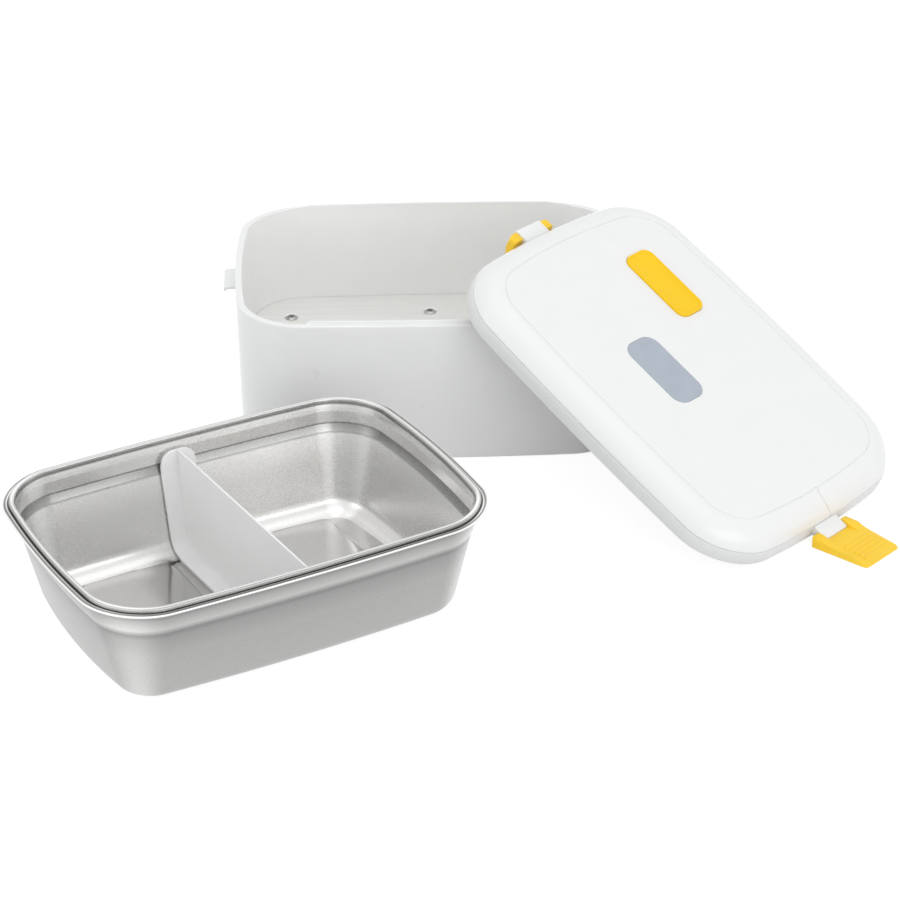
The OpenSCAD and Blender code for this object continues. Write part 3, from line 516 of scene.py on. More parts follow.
def new_tree(name, inputs):
    tree = bpy.data.node_groups.new(name, "GeometryNodeTree")
    for label, kind in {"Geometry": "Geometry", **inputs}.items():
        tree.interface.new_socket(label, in_out="INPUT", socket_type="NodeSocket" + kind)
    tree.interface.new_socket("Geometry", in_out="OUTPUT", socket_type="NodeSocketGeometry")
    return tree, add_node(tree, "NodeGroupInput").outputs


def end_tree(tree, instances, material):
    """Makes the instances real, gives them their material and hands them out."""
    real = add_node(tree, "GeometryNodeRealizeInstances", {"Geometry": instances})
    paint = add_node(tree, "GeometryNodeSetMaterial", {"Geometry": real.outputs[0], "Material": material})
    add_node(tree, "NodeGroupOutput", {"Geometry": paint.outputs[0]})
    return tree


def run_tree(points, name, tree, values):
    """Runs the tree on these points with these named inputs, and keeps the result as a plain mesh."""
    piece = Shape(points).build(name)
    modifier = piece.modifiers.new(tree.name, "NODES")
    modifier.node_group = tree
    for item in tree.interface.items_tree:
        if item.item_type == "SOCKET" and item.in_out == "INPUT" and item.name in values:
            modifier[item.identifier] = values[item.name]
    return settle(piece)


def vector_of(tree, x=0.0, y=0.0, z=0.0):
    return add_node(tree, "ShaderNodeCombineXYZ", {0: x, 1: y, 2: z}).outputs[0]


def placed(tree, geometry, shift=(0, 0, 0), turn=(0, 0, 0)):
    return add_node(tree, "GeometryNodeTransform", {
        "Geometry": geometry, "Translation": shift, "Rotation": turn}).outputs[0]


def screw_tree():
    """A pan-head screw with a cross slot on every point of the mesh."""
    tree, value = new_tree("cross-head screws", {
        "Head Radius": "Float", "Head Height": "Float", "Shaft Radius": "Float", "Shaft Length": "Float",
        "Slot Width": "Float", "Material": "Material"})

    def cone(bottom, top, depth, height):
        mesh = add_node(tree, "GeometryNodeMeshCone", {
            "Vertices": ROD_STEPS, "Radius Bottom": bottom, "Radius Top": top, "Depth": depth})
        return placed(tree, mesh.outputs["Mesh"], vector_of(tree, z=height))

    half = maths(tree, "MULTIPLY", value["Head Height"], 0.5)
    top_r = maths(tree, "MULTIPLY", value["Head Radius"], 0.7)
    head = cone(value["Head Radius"], value["Head Radius"], half, 0.0)
    dome = cone(value["Head Radius"], top_r, half, half)
    shaft = cone(value["Shaft Radius"], value["Shaft Radius"], value["Shaft Length"],
                 maths(tree, "MULTIPLY", value["Shaft Length"], -1.0))
    union = add_node(tree, "GeometryNodeMeshBoolean", {"Mesh 2": [head, dome, shaft]}, operation="UNION")
    slot_length = maths(tree, "MULTIPLY", value["Head Radius"], 1.2)
    slots = []
    for turn in (0.0, pi / 2):
        slot = vector_of(tree, slot_length, value["Slot Width"], value["Head Height"])
        bar = add_node(tree, "GeometryNodeMeshCube", {"Size": slot}).outputs["Mesh"]
        slots.append(placed(tree, bar, vector_of(tree, z=value["Head Height"]), (0, 0, turn)))
    screw = add_node(tree, "GeometryNodeMeshBoolean", {
        "Mesh 1": union.outputs["Mesh"], "Mesh 2": slots}, operation="DIFFERENCE")
    points = add_node(tree, "GeometryNodeMeshToPoints", {"Mesh": value["Geometry"]})
    spin = add_node(tree, "FunctionNodeRandomValue", {"Max": (0, 0, pi), "Seed": 4}, data_type="FLOAT_VECTOR")
    spread = add_node(tree, "GeometryNodeInstanceOnPoints", {
        "Points": points.outputs["Points"], "Instance": screw.outputs["Mesh"],
        "Rotation": spin.outputs["Value"]})
    return end_tree(tree, spread.outputs["Instances"], value["Material"])


def rib_tree():
    """A row of soft ribs across the plate."""
    tree, value = new_tree("grip ribs", {
        "Count": "Int", "Pitch": "Float", "Length": "Float", "Radius": "Float", "Material": "Material"})
    line = add_node(tree, "GeometryNodeMeshLine", {
        "Count": value["Count"], "Offset": vector_of(tree, value["Pitch"])})
    bar = add_node(tree, "GeometryNodeMeshCylinder", {
        "Vertices": 16, "Radius": value["Radius"], "Depth": value["Length"]})
    lying = placed(tree, bar.outputs["Mesh"], turn=(pi / 2, 0, 0))
    spread = add_node(tree, "GeometryNodeInstanceOnPoints", {
        "Points": line.outputs["Mesh"], "Instance": lying})
    return end_tree(tree, spread.outputs["Instances"], value["Material"])


# ---------------------------------------------------------------- case

def case_inset(size, z):
    return size.draft * (1 - z / size.case_height)


def liner_inset(size, z):
    return size.rim + LINER_DRAFT * (size.case_height - z) / (size.case_height - LINER_SEAT)


class LUNCHBOX_OT_case(bpy.types.Operator):
    """Make the outer case with its catch tabs and screw wells"""
    bl_idname = "lunchbox.case"
    bl_label = "Outer Case"

    def execute(self, context):
        size = mm_sizes()
        edge = []
        for step in range(11):
            angle = radians(9 * step)
            z = CASE_BASE + CASE_EDGE * (1 - cos(angle))
            edge.append((case_inset(size, z) + CASE_EDGE * (1 - sin(angle)), z))
        walls = [(case_inset(size, z), z) for z in (25, 45, 65)]
        top, low = case_inset(size, LINER_TOP), case_inset(size, CASE_FLOOR) + CASE_WALL
        inside = [(top, LINER_TOP, 0.1), (top + CASE_WALL, LINER_TOP), (low, CASE_FLOOR + 2),
                  (low + 2, CASE_FLOOR)]
        case = loft(size, filleted(edge + walls + inside)).build("case_shell", "case_white")
        inlet = box_shape((0, size.case_width / 2, INLET_Z), (INLET_L, 20, INLET_H))
        wells = [rod_shape(x, y, [(WELL_R, CASE_BASE - 1), (WELL_R, WELL_TOP)]) for x, y in BASE_SCREWS]
        groove = loft(size, [(FOOT_OUT, CASE_BASE - 1), (FOOT_OUT, CASE_BASE + FOOT_DEPTH)]).build("cut")
        middle = loft(size, [(FOOT_IN, CASE_BASE - 2), (FOOT_IN, 3)])
        cut(case, [inlet] + wells + [cut(groove, [middle])])
        root, tip = size.case_length / 2 - CASE_WALL, size.case_length / 2 + TAB_REACH
        profile = [(root, TAB_LOW + 1), (tip - 2.2, TAB_LOW + 1), (tip - 1.6, TAB_LOW), (tip - 0.5, TAB_LOW),
                   (tip, TAB_LOW + 0.6), (tip, TAB_TOP - 1.2), (tip - 0.8, TAB_TOP - 0.5), (root, TAB_TOP)]
        merge(case, end_bars(profile, CATCH_W, "case_white", 0.4))
        carried(case, "case", "white_shell", "outer_case")
        return {"FINISHED"}


class LUNCHBOX_OT_liner(bpy.types.Operator):
    """Make the inner tub with its rim and the lips that hold the tray"""
    bl_idname = "lunchbox.liner"
    bl_label = "Inner Liner"

    def execute(self, context):
        size = mm_sizes()
        h = size.case_height
        outside = [(liner_inset(size, z) - LINER_WALL, z) for z in (LINER_FLOOR, LINER_TOP)]
        rim = [(case_inset(size, LINER_TOP), LINER_TOP), (0, h, 0.7), (size.rim, h, 0.5)]
        inside = [(liner_inset(size, z), z) for z in (60, 40, LINER_SEAT)]
        liner = loft(size, filleted(outside + rim + inside)).build("case_liner", "liner_white")
        bays = [box_shape((s * HEATER_X, 0, LINER_SEAT - 2), HEATER_BAY) for s in (-1, 1)]
        bore = rod_shape(0, 0, [(THERMOSTAT_R, LINER_FLOOR - 1), (THERMOSTAT_R, LINER_SEAT + 1)])
        cut(liner, bays + [bore])
        merge(liner, [self.lip(size, s) for s in (-1, 1)])
        carried(liner, "case", "liner_plastic", "inner_liner")
        return {"FINISHED"}

    def lip(self, size, side):
        """A ridge on the rim of one long side: it ends in short ramps in front and long ones behind."""
        h, outer = size.case_height, size.rim - LIP_T
        rise = LIP_TOP - h
        run = rise if side < 0 else LIP_RUN
        profiles = []
        for k in range(121):
            x = (LIP_HALF + run) * (k / 60 - 1)
            z = min(LIP_TOP, h + rise * (LIP_HALF + run - abs(x)) / run) - 0.001
            section = [(outer, h - 1), (outer, z - LIP_EDGE), (outer + LIP_EDGE, z),
                       (size.rim - LIP_EDGE, z), (size.rim, z - LIP_EDGE), (size.rim, h - 1)]
            profile = [(x, side * self.half_width(size, x, inset), height) for inset, height in section]
            profiles.append(profile if side > 0 else profile[::-1])
        return stack(profiles).build("lip", "liner_white")

    def half_width(self, size, x, inset):
        """How far the outline is from the middle line at this x."""
        long, wide, r = size.case_length - 2 * inset, size.case_width - 2 * inset, size.corner - inset
        source = abs(x) / (1 - 2 * size.bow_end / long)
        past = max(source - long / 2 + r, 0.0)
        y = wide / 2 - r + sqrt(r ** 2 - past ** 2)
        return y * (1 - 2 * size.bow_long / wide * (2 * source / long) ** 2)


class LUNCHBOX_OT_plate(bpy.types.Operator):
    """Make the heating plate with a dish round each screw"""
    bl_idname = "lunchbox.plate"
    bl_label = "Heating Plate"

    def execute(self, context):
        size = mm_sizes()
        inset, dish_z = liner_inset(size, LINER_SEAT) + 0.1, PLATE_TOP - DISH_DEPTH
        rows = filleted([(inset, LINER_SEAT), (inset, PLATE_TOP, 0.5), (inset + 1.5, PLATE_TOP)])
        plate = loft(size, rows).build("plate", "plate")
        dish = [(BORE_R, LINER_SEAT - 1), (BORE_R, dish_z), (DISH_R, dish_z), (DISH_RIM_R, PLATE_TOP),
                (DISH_RIM_R, PLATE_TOP + 1)]
        cut(plate, [rod_shape(x, y, dish) for x, y in PLATE_SCREWS])
        carried(plate, "case", "plate_metal", "heating_plate")
        return {"FINISHED"}


class LUNCHBOX_OT_screws(bpy.types.Operator):
    """Make the six screws that hold the heating plate"""
    bl_idname = "lunchbox.screws"
    bl_label = "Plate Screws"

    def execute(self, context):
        points = [(x, y, PLATE_TOP - DISH_DEPTH) for x, y in PLATE_SCREWS]
        piece = run_tree(points, "plate_screws", screw_tree(), {
            "Head Radius": mm_sizes().screw_head * MM, "Head Height": HEAD_H * MM,
            "Shaft Radius": SHAFT_R * MM, "Shaft Length": SHAFT_L * MM, "Slot Width": SLOT_W * MM,
            "Material": MATERIALS["screw"]})
        names = ["plate_screw_%d" % (i + 1) for i in range(len(PLATE_SCREWS))]
        carried(piece, "case", "screw_steel", *names)
        return {"FINISHED"}


# ---------------------------------------------------------------- tray and divider

def floor_panel(grow, low, high, side):
    """A floor panel with a soft edge, from low to high."""
    rows = [(grow + PANEL_EDGE, low - 1.0)]
    for k in range(6):
        t = k / 5
        rows.append((grow + PANEL_EDGE * (1 - t), low + (high - low) * (3 * t * t - 2 * t * t * t)))
    outlines = [(rounded_rect(PANEL_L + 2 * g, PANEL_W + 2 * g, PANEL_R + g), z) for g, z in rows]
    return stack([[(side * PANEL_X + x, y, z) for x, y in outline] for outline, z in outlines])


class LUNCHBOX_OT_tray(bpy.types.Operator):
    """Make the pressed steel tray with its shoulder, flange, bead and floor panels"""
    bl_idname = "lunchbox.tray"
    bl_label = "Steel Tray"

    def execute(self, context):
        size = mm_sizes()
        rim, outside, inside = self.rim_rows(size), self.foot(0)[::-1], self.foot(SHEET)
        rows = filleted(outside + rim + inside, steps=5)
        marks = [1] + [0] * (len(rows) - 3) + [1]
        tray = loft(size, rows, TRAY_OVER, marks, FINE_STEPS).build("steel_tray", "steel", "steel_floor")
        # Paints reflections into the steel's colour: painted highlights, glints and shade, row by row and
        # round the corners.
        self.polish(tray, rows, rim, len(outside))
        rise = size.panel_height
        panels = [floor_panel(0, SHEET, rise + SHEET, s).build("panel", "steel_floor") for s in (-1, 1)]
        cut(tray, panels, "UNION")
        cut(tray, [floor_panel(-SHEET, 0, rise, s).build("hollow", "steel_floor") for s in (-1, 1)])
        put(tray, TRAY_PLACE)
        carried(tray, "tray", "tray_steel", "tray")
        return {"FINISHED"}

    def foot(self, depth):
        """The rounded foot of the wall, that deep in the sheet."""
        r = FOOT_R - depth
        return [(FOOT_CENTRE - r * cos(a), depth + r * (1 - sin(a))) for a in FOOT_ANGLES]

    def rim_rows(self, size):
        """Each row of the wall and rim: inset, height, radius, and a painted reflection tone, with painted
        highlights on flange and bead and painted shade in the grooves and at the shoulder.
        """
        h, low, top = size.tray_height, size.tray_height - 1.2, size.tray_height + size.bead_height
        wall, shoulder = WALL_INSET + SHEET, SHOULDER_INSET + SHEET
        return [
            # outside of the wall and its shoulder
            (WALL_INSET + 3.3, SHOULDER_LOW - 15, 0, 0.42), (WALL_INSET + 0.65, SHOULDER_LOW - 3, 0, 0.34),
            (WALL_INSET, SHOULDER_LOW, 1.5, 0.26), (SHOULDER_INSET, SHOULDER_TOP - 1, 1.5, 0.52),
            (SHOULDER_INSET - 0.3, low - 6, 0, 0.38), (TRAY_INSET, low, 1.0, 0.10),
            # flange
            (0.0, low, 0.35, 0.45), (0.0, h, 0.45, 0.95), (0.7, h, 0, 0.5), (1.4, h, 0, 0.15),
            (2.1, h, 0, 0.8), (2.7, h, 0.15, 0.35), (2.9, h - 0.5, 0.1, 0.1), (3.3, h - 0.5, 0.1, 0.15),
            # bead
            (3.4, top, 0.8, 0.45), (4.6, top, 0, 0.95), (6.2, top, 0.8, 0.7), (6.3, h - 0.5, 0, 0.3),
            # inside of the shoulder and the wall below it
            (6.6, h - 1.5, 0, 1.0), (shoulder, h - 5.0, 1.5, 1.1), (shoulder, SHOULDER_TOP, 0, 1.1),
            (shoulder, SHOULDER_TOP - 1.2, 0.8, 0.35), (wall, SHOULDER_LOW - 0.5, 1.0, 0.5),
            (wall + 0.4, SHOULDER_LOW - 2, 0, 1.05), (wall + 3.9, SHOULDER_LOW - 18, 0, 0.95)]

    def polish(self, tray, rows, rim, foot_rows):
        """Stores a painted reflection tone for each row, with one painted glint outside each corner and two
        inside it.
        """
        inward = max(range(len(rows)), key=lambda j: rows[j][1] + rows[j][0] * 0.01)
        per_side = len(tray.data.vertices) // len(rows) // 4
        values = []
        for j, row in enumerate(rows):
            # Painted shade: the outside darkens towards the foot.
            if j < foot_rows:
                tone = FOOT_PAINTED_SHADE + (WALL_PAINTED_REFLECTION - FOOT_PAINTED_SHADE) * (j / foot_rows) ** 0.7
            elif j >= len(rows) - foot_rows:
                tone = INNER_PAINTED_REFLECTION
            else:
                tone = min(rim, key=lambda r: dist(r[:2], row))[3]
            for i in range(4 * per_side):
                # Painted glints: two inside each corner, one outside it.
                t = min((i % per_side) / FINE_STEPS, 1.0)
                if j > inward:
                    values.append(tone * (0.86 + 0.14 * sin(2 * pi * t) ** 2))
                else:
                    values.append(tone * (1 + 0.45 * sin(pi * t) ** 2))
        tray.data.attributes.new("sheen", "FLOAT", "POINT").data.foreach_set("value", values)


class LUNCHBOX_OT_divider(bpy.types.Operator):
    """Make the milky divider: a web on a strip that follows the tray"""
    bl_idname = "lunchbox.divider"
    bl_label = "Divider"

    def execute(self, context):
        size = mm_sizes()
        half = size.strip_width / 2
        gap = 0.4 + half * sin(DIVIDER_TURN) + size.bow_long * (2 * (half + 5.2) / size.case_length) ** 2
        r = FOOT_R - SHEET - gap

        def reach(inset):
            return size.case_width / 2 + TRAY_OVER - inset

        path = [(reach(WALL_INSET + 0.6) - gap, WEB_TOP - 1), (reach(WALL_INSET + SHEET) - gap, SHOULDER_LOW)]
        path += [(reach(FOOT_CENTRE) + r * cos(a), FOOT_R - r * sin(a)) for a in FOOT_ANGLES]
        path.append((reach(FOOT_CENTRE) - 1.5, SHEET))
        outline = [(y - 0.3, z + 0.3) for y, z in path]
        outline.insert(0, (outline[0][0] - 1.2, WEB_TOP))
        outline += [(-y, z) for y, z in reversed(outline)]
        web = stack([[(x, y, z) for y, z in reversed(outline)] for x in (-WEB_T / 2, WEB_T / 2)])
        piece = cut(self.strip(path, half), [web], "UNION")
        bevel(piece, 0.3, 2, 50)
        put(piece, TRAY_PLACE @ turned(DIVIDER_TURN) @ at(DIVIDER_X, 0))
        carried(piece, "divider", "divider_clear", "divider")
        return {"FINISHED"}

    def strip(self, path, half):
        """The strip that follows the path, with a round-ended tongue up each wall."""
        y0, z0 = path[0]
        slope = (path[1][0] - y0) / (path[1][1] - z0)
        whole = []
        for k in range(9):
            t = k / 8
            z = z0 + 0.9 - TONGUE * (1 - sqrt(1 - t * t))
            whole.append((y0 + slope * (z - z0), z, half - TONGUE + TONGUE * t))
        whole += [(y, z, half) for y, z in path[1:]]
        whole += [(-y, z, width) for y, z, width in reversed(whole)]
        outer = [Vector((y, z)) for y, z, width in whole]
        profiles = []
        for i, (p, (y, z, width)) in enumerate(zip(outer, whole)):
            along = (outer[min(i + 1, len(outer) - 1)] - outer[max(i - 1, 0)]).normalized()
            q = p + Vector((along[1], -along[0])) * STRIP_T
            profiles.append([(-width, p[0], p[1]), (width, p[0], p[1]), (width, q[0], q[1]),
                             (-width, q[0], q[1])])
        return outward(stack(profiles).build("milky_divider", "divider"))


# ---------------------------------------------------------------- lid

def roll_point(r, angle):
    """A point on the lid's rolled border, as inset and height."""
    return (ROLL_R - r * cos(angle), ROLL_Z + r * sin(angle))


def roll_row(r, z):
    """The point of the rolled border at this height."""
    return (ROLL_R - sqrt(r * r - (z - ROLL_Z) ** 2), z)


def stem_bores(low, high):
    r = STEM_R + STEM_GAP
    return [rod_shape(VENT_X + s * VENT_L / 4, VENT_Y, [(r, low), (r, high)]) for s in (-1, 1)]


class LUNCHBOX_OT_lid_cover(bpy.types.Operator):
    """Make the lid's upper cover with its rolled border, groove and recesses"""
    bl_idname = "lunchbox.lid_cover"
    bl_label = "Lid Cover"

    def execute(self, context):
        size = mm_sizes()
        inner_r = ROLL_R - COVER_T
        low, seam = asin((SEAM_Z - ROLL_Z) / inner_r), asin((SEAM_Z + SEAM_GAP - ROLL_Z) / ROLL_R)
        inside = [roll_point(inner_r, pi / 2 - (pi / 2 - low) * k / 12) for k in range(13)]
        outside = [roll_point(ROLL_R, seam + (pi / 2 - seam) * k / 22) for k in range(23)]
        outside = [p for p in outside if p[0] < BORDER_INSET - 0.6]
        outside[0] += (0.45,)
        bed = LID_H - GROOVE_DEPTH
        top = [(BORDER_INSET, LID_H - 0.02, 0.15), (BORDER_INSET + 0.1, bed), (BORDER_INSET + 0.7, bed),
               (BORDER_INSET + 0.8, LID_H, 0.15), (18, LID_H)]
        rows = filleted(inside + outside + top, steps=3)
        marks = [int(inset > BORDER_INSET + 0.05 and z > LID_H - COVER_T / 2) for inset, z in rows][1:]
        shell = loft(size, rows, LID_OVER, marks, FINE_STEPS)
        cover = shell.build("lid_cover_shell", "gloss_white", "matt_white")
        depth = [LID_H - RECESS, LID_H + 1]
        recesses = [plaque(VENT_L, VENT_W, VENT_R, [(2 * VENT_GAP, z) for z in depth], VENT_X, VENT_Y),
                    plaque(INLAY_L, INLAY_W, INLAY_R, [(2 * INLAY_GAP, z) for z in depth], INLAY_X, INLAY_Y)]
        cut(cover, recesses + [self.step_line()] + stem_bores(15, LID_H))
        put(cover, LID_PLACE)
        carried(cover, "lid", "white_shell", "lid_cover")
        return {"FINISHED"}

    def step_line(self):
        """A fine groove that winds over the near border, widest beside the panel."""
        path = [(103.4, -0.4, 19.6, 1.3), (105.4, -0.4, 19.5, 1.3), (107.6, -1.6, 19.2, 1.1),
                (110.9, -1.3, 18.1, 0.85), (114.4, -0.1, 15.8, 0.75), (116.9, 1.2, 13.2, 0.7),
                (118.8, 2.8, 10.1, 0.65), (119.8, 4.2, 7.5, 0.6)]
        profiles = []
        for i, (x, y, z, r) in enumerate(path):
            ahead, behind = path[min(i + 1, len(path) - 1)], path[max(i - 1, 0)]
            along = (Vector(ahead[:3]) - Vector(behind[:3])).normalized()
            across = along.cross(Vector((0, 0, 1))).normalized()
            up = across.cross(along)
            rays = [across * cos(pi * k / 4) + up * sin(pi * k / 4) for k in range(8)]
            profiles.append([Vector((x, y, z)) + ray * r for ray in rays])
        return outward(stack(profiles).build("cut"))


class LUNCHBOX_OT_lid_base(bpy.types.Operator):
    """Make the lid's skirt and inner plate with a hinge knuckle at each end"""
    bl_idname = "lunchbox.lid_base"
    bl_label = "Lid Base"

    def execute(self, context):
        size = mm_sizes()
        dome_r = ROLL_R - COVER_T - 0.2
        dome = [roll_row(dome_r, SEAM_Z + (BASE_TOP - SEAM_Z) * k / 6) for k in range(7)]
        rows = [(PLATE_INSET, BASE_UNDER), (PLATE_INSET - 0.6, BASE_UNDER - 2.4, 0.5),
                (dome[0][0] + 2.2, SEAM_Z - 0.1), (SKIRT_T, LID_FLANGE_Z + 0.1), (SKIRT_T, 0), (0, 0, 0.5),
                (0, ROLL_Z), roll_row(ROLL_R, 6), roll_row(ROLL_R, SEAM_Z) + (0.45,)] + dome
        skirt = loft(size, filleted(rows, steps=3), LID_OVER, steps=FINE_STEPS)
        # The lid base wears the darker skirt white, which is painted shade.
        base = skirt.build("lid_skirt", "shaded_skirt_white", "gloss_white")
        pry = box_shape((PRY_X, -size.case_width / 2 - LID_OVER, SEAM_Z - 0.4), (PRY_L, 2.6, PRY_H))
        cut(base, stem_bores(10, 14) + [pry])
        root = size.case_length / 2 + LID_OVER - SKIRT_T / 2
        arc = [asin(KNUCKLE_HALF / KNUCKLE_R) * k / 6 for k in range(-6, 7)]
        profile = [(root, HINGE_Z - KNUCKLE_HALF)]
        profile += [(PIVOT_X + KNUCKLE_R * cos(a), HINGE_Z + KNUCKLE_R * sin(a)) for a in arc]
        profile.append((root, HINGE_Z + KNUCKLE_HALF))
        merge(base, end_bars(profile, KNUCKLE_W, "gloss_white", 0.35))
        put(base, LID_PLACE)
        carried(base, "lid", "white_shell", "lid_base")
        return {"FINISHED"}


class LUNCHBOX_OT_vent_plug(bpy.types.Operator):
    """Make the yellow vent plug with its raised edge and two stems"""
    bl_idname = "lunchbox.vent_plug"
    bl_label = "Vent Plug"

    def execute(self, context):
        top = LID_H + VENT_RISE
        rows = [(0, LID_H - RECESS), (0, top - 0.5), (-0.3, top - 0.12), (-0.9, top), (-2.2, top),
                (-2.9, top - 0.1), (-3.3, top - 0.45), (-4.2, top - 0.5)]
        piece = plaque(VENT_L, VENT_W, VENT_R, rows, VENT_X, VENT_Y).build("yellow_vent_plug", "vent_yellow")
        rod = [(STEM_R - 0.4, 11.5), (STEM_R, 11.9), (STEM_R, LID_H - 0.7)]
        stems = [rod_shape(VENT_X + s * VENT_L / 4, VENT_Y, rod) for s in (-1, 1)]
        merge(piece, [stem.build("stem", "vent_yellow") for stem in stems])
        put(piece, LID_PLACE)
        carried(piece, "vent", "vent_yellow", "vent_plug")
        return {"FINISHED"}


# ---------------------------------------------------------------- latches

class LUNCHBOX_OT_latches(bpy.types.Operator):
    """Make both latches with their ears, notch and grip ribs"""
    bl_idname = "lunchbox.latches"
    bl_label = "Latches"

    def execute(self, context):
        near = at(PIVOT_X, LATCH_Y, HINGE_Z) @ turned(-LID_TILT, "Y")
        far = at(-PIVOT_X, LATCH_Y, HINGE_Z) @ turned(pi) @ turned(pi / 2, "Y")
        for name, placing, shift in (("near", near, 0.9), ("far", far, 0.0)):
            piece = self.latch(mm_sizes(), name + "_latch_body", shift)
            put(piece, LID_PLACE @ placing)
            carried(piece, name + "_latch", "latch_yellow", name + "_latch")
        return {"FINISHED"}

    def latch(self, size, name, shift):
        """A wedge with two domed ears; its outline stands that far to one side of the notch."""
        tip_z, notch_l = TIP_T - UNDER, NOTCH_END - NOTCH_X
        wedge = [(-EAR_BACK, -UNDER), (LATCH_L - 1, -UNDER), (LATCH_L, -UNDER + 0.8), (LATCH_L - 0.6, tip_z),
                 (NOTCH_END, LATCH_Z - 0.6), (NOTCH_X, LATCH_Z), (-EAR_BACK, LATCH_Z)]
        ear = filleted([(-EAR_BACK, -UNDER), (NOTCH_END + 3, -UNDER), (NOTCH_END + 3, LATCH_Z - 1.05),
                        (9, LATCH_Z + 0.5, 5), (3, EAR_TOP - 0.8, 3), (1, EAR_TOP - 0.05, 2),
                        (-EAR_BACK + 1, EAR_TOP - 0.05, 1), (-EAR_BACK, EAR_TOP - 1.6, 1),
                        (-EAR_BACK, -UNDER + 1)])
        body = extruded(wedge, LATCH_W + 2).build(name, "yellow")
        cut(body, [extruded(ear, LATCH_W + 2).build("ear", "yellow")], "UNION")
        cut(body, [self.outline(shift)], "INTERSECT")
        cut(body, [self.front(shift)], "INTERSECT")
        cut(body, [box_shape((NOTCH_X - 5, 0, 0), (10, NOTCH_W, 20)),
                   box_shape((NOTCH_X + notch_l / 2 - 0.5, 0, LATCH_Z + 5), (notch_l + 1, NOTCH_W, 10)),
                   box_shape((POCKET_X, 0, -UNDER), (POCKET_L, CATCH_W + 1.2, POCKET_H))])
        bevel(body, 0.4, 3, 30)
        slope = atan((LATCH_Z - 0.6 - tip_z) / (LATCH_L - 0.6 - NOTCH_END))
        ribs = run_tree([(0, 0, 0)], "ribs", rib_tree(), {
            "Count": size.grip_ribs, "Pitch": size.grip_pitch * MM, "Length": (LATCH_TIP_W - 9) * MM,
            "Radius": RIB_R * MM, "Material": MATERIALS["yellow"]})
        put(ribs, at(NOTCH_END + 1.6, shift + 1.0, LATCH_Z - 1.75) @ turned(slope, "Y"))
        return merge(body, [ribs])

    def outline(self, shift):
        """The latch seen from above, with round corners, and sides that lean in towards the top."""
        half, tip, back = LATCH_W / 2, LATCH_TIP_W / 2, 2.0
        corners = [(LATCH_L - 4, tip - 4, 4, 0), (back - EAR_BACK, half - back, back, 90),
                   (back - EAR_BACK, back - half, back, 180), (LATCH_L - 4, 4 - tip, 4, 270)]
        points = []
        for x, y, r, start in corners:
            for k in range(10):
                angle = radians(start + 10 * k)
                points.append((x + r * cos(angle), shift + y + r * sin(angle)))
        return stack([[(x, y - copysign(lean, y - shift) * min(max(x / 6, 0), 1), z) for x, y in points]
                      for z, lean in ((-10, 0), (-3, 0), (LATCH_Z, 2.2), (10, 2.4))])

    def front(self, shift):
        """The latch seen along the lid: a flat underside and a domed top."""
        half = LATCH_W / 2
        points = [(half + 2, -9), (half + 2, -0.5)]
        for k in range(12):
            angle = radians(90 - 7.5 * k)
            points.append((half * sin(angle), -0.5 + (EAR_TOP + 0.5) * cos(angle) ** 0.55))
        points += [(-y, z) for y, z in reversed(points)]
        return stack([[(x, shift + y, z) for y, z in points] for x in (-10, 50)])


# ---------------------------------------------------------------- carried-over parts and stage

FINISHES = {
    "foot": ["foot_ring"], "felt": ["insulation_pad"], "gasket": ["lid_gasket"], "inlay": ["lid_inlay"],
    "screw": ["%s_screw_%d" % (place, i) for place in ("base", "clamp") for i in range(1, 5)]
             + ["near_hinge_pin", "far_hinge_pin"],
    "heater": ["heater_1", "heater_2", "thermostat"], "strap": ["heater_clamp_1", "heater_clamp_2"],
    "ceramic": ["thermal_fuse"], "black": ["inlet_housing"], "brass": ["inlet_pin_1", "inlet_pin_2"],
    "lead": ["lead_1", "lead_2"],
}


class LUNCHBOX_OT_small_parts(bpy.types.Operator):
    """Give the inner and small parts their finishes"""
    bl_idname = "lunchbox.small_parts"
    bl_label = "Small Parts"

    def execute(self, context):
        for finish, names in FINISHES.items():
            for name in names:
                part = frame["nodes"][name]
                for piece in [part] + list(part.children_recursive):
                    if piece.type == "MESH":
                        self.paint(piece, MATERIALS[finish])
        return {"FINISHED"}

    def paint(self, piece, material):
        for slot in piece.material_slots:
            slot.material = material
        if not piece.material_slots:
            piece.data.materials.append(material)


def lamp(name, place, aim, size, power):
    data = bpy.data.lights.new(name, "AREA")
    data.shape = "RECTANGLE"
    data.size, data.size_y = size
    data.energy = power
    obj = bpy.data.objects.new(name, data)
    bpy.context.scene.collection.objects.link(obj)
    obj.location = place
    obj.rotation_euler = (Vector(aim) - Vector(place)).to_track_quat("-Z", "Y").to_euler()


def direct_rays(tree):
    """One for camera, glossy and transmission rays, none for the rays that light a surface."""
    path = add_node(tree, "ShaderNodeLightPath").outputs
    first = maths(tree, "MAXIMUM", path["Is Camera Ray"], path["Is Glossy Ray"])
    return maths(tree, "MAXIMUM", first, path["Is Transmission Ray"])


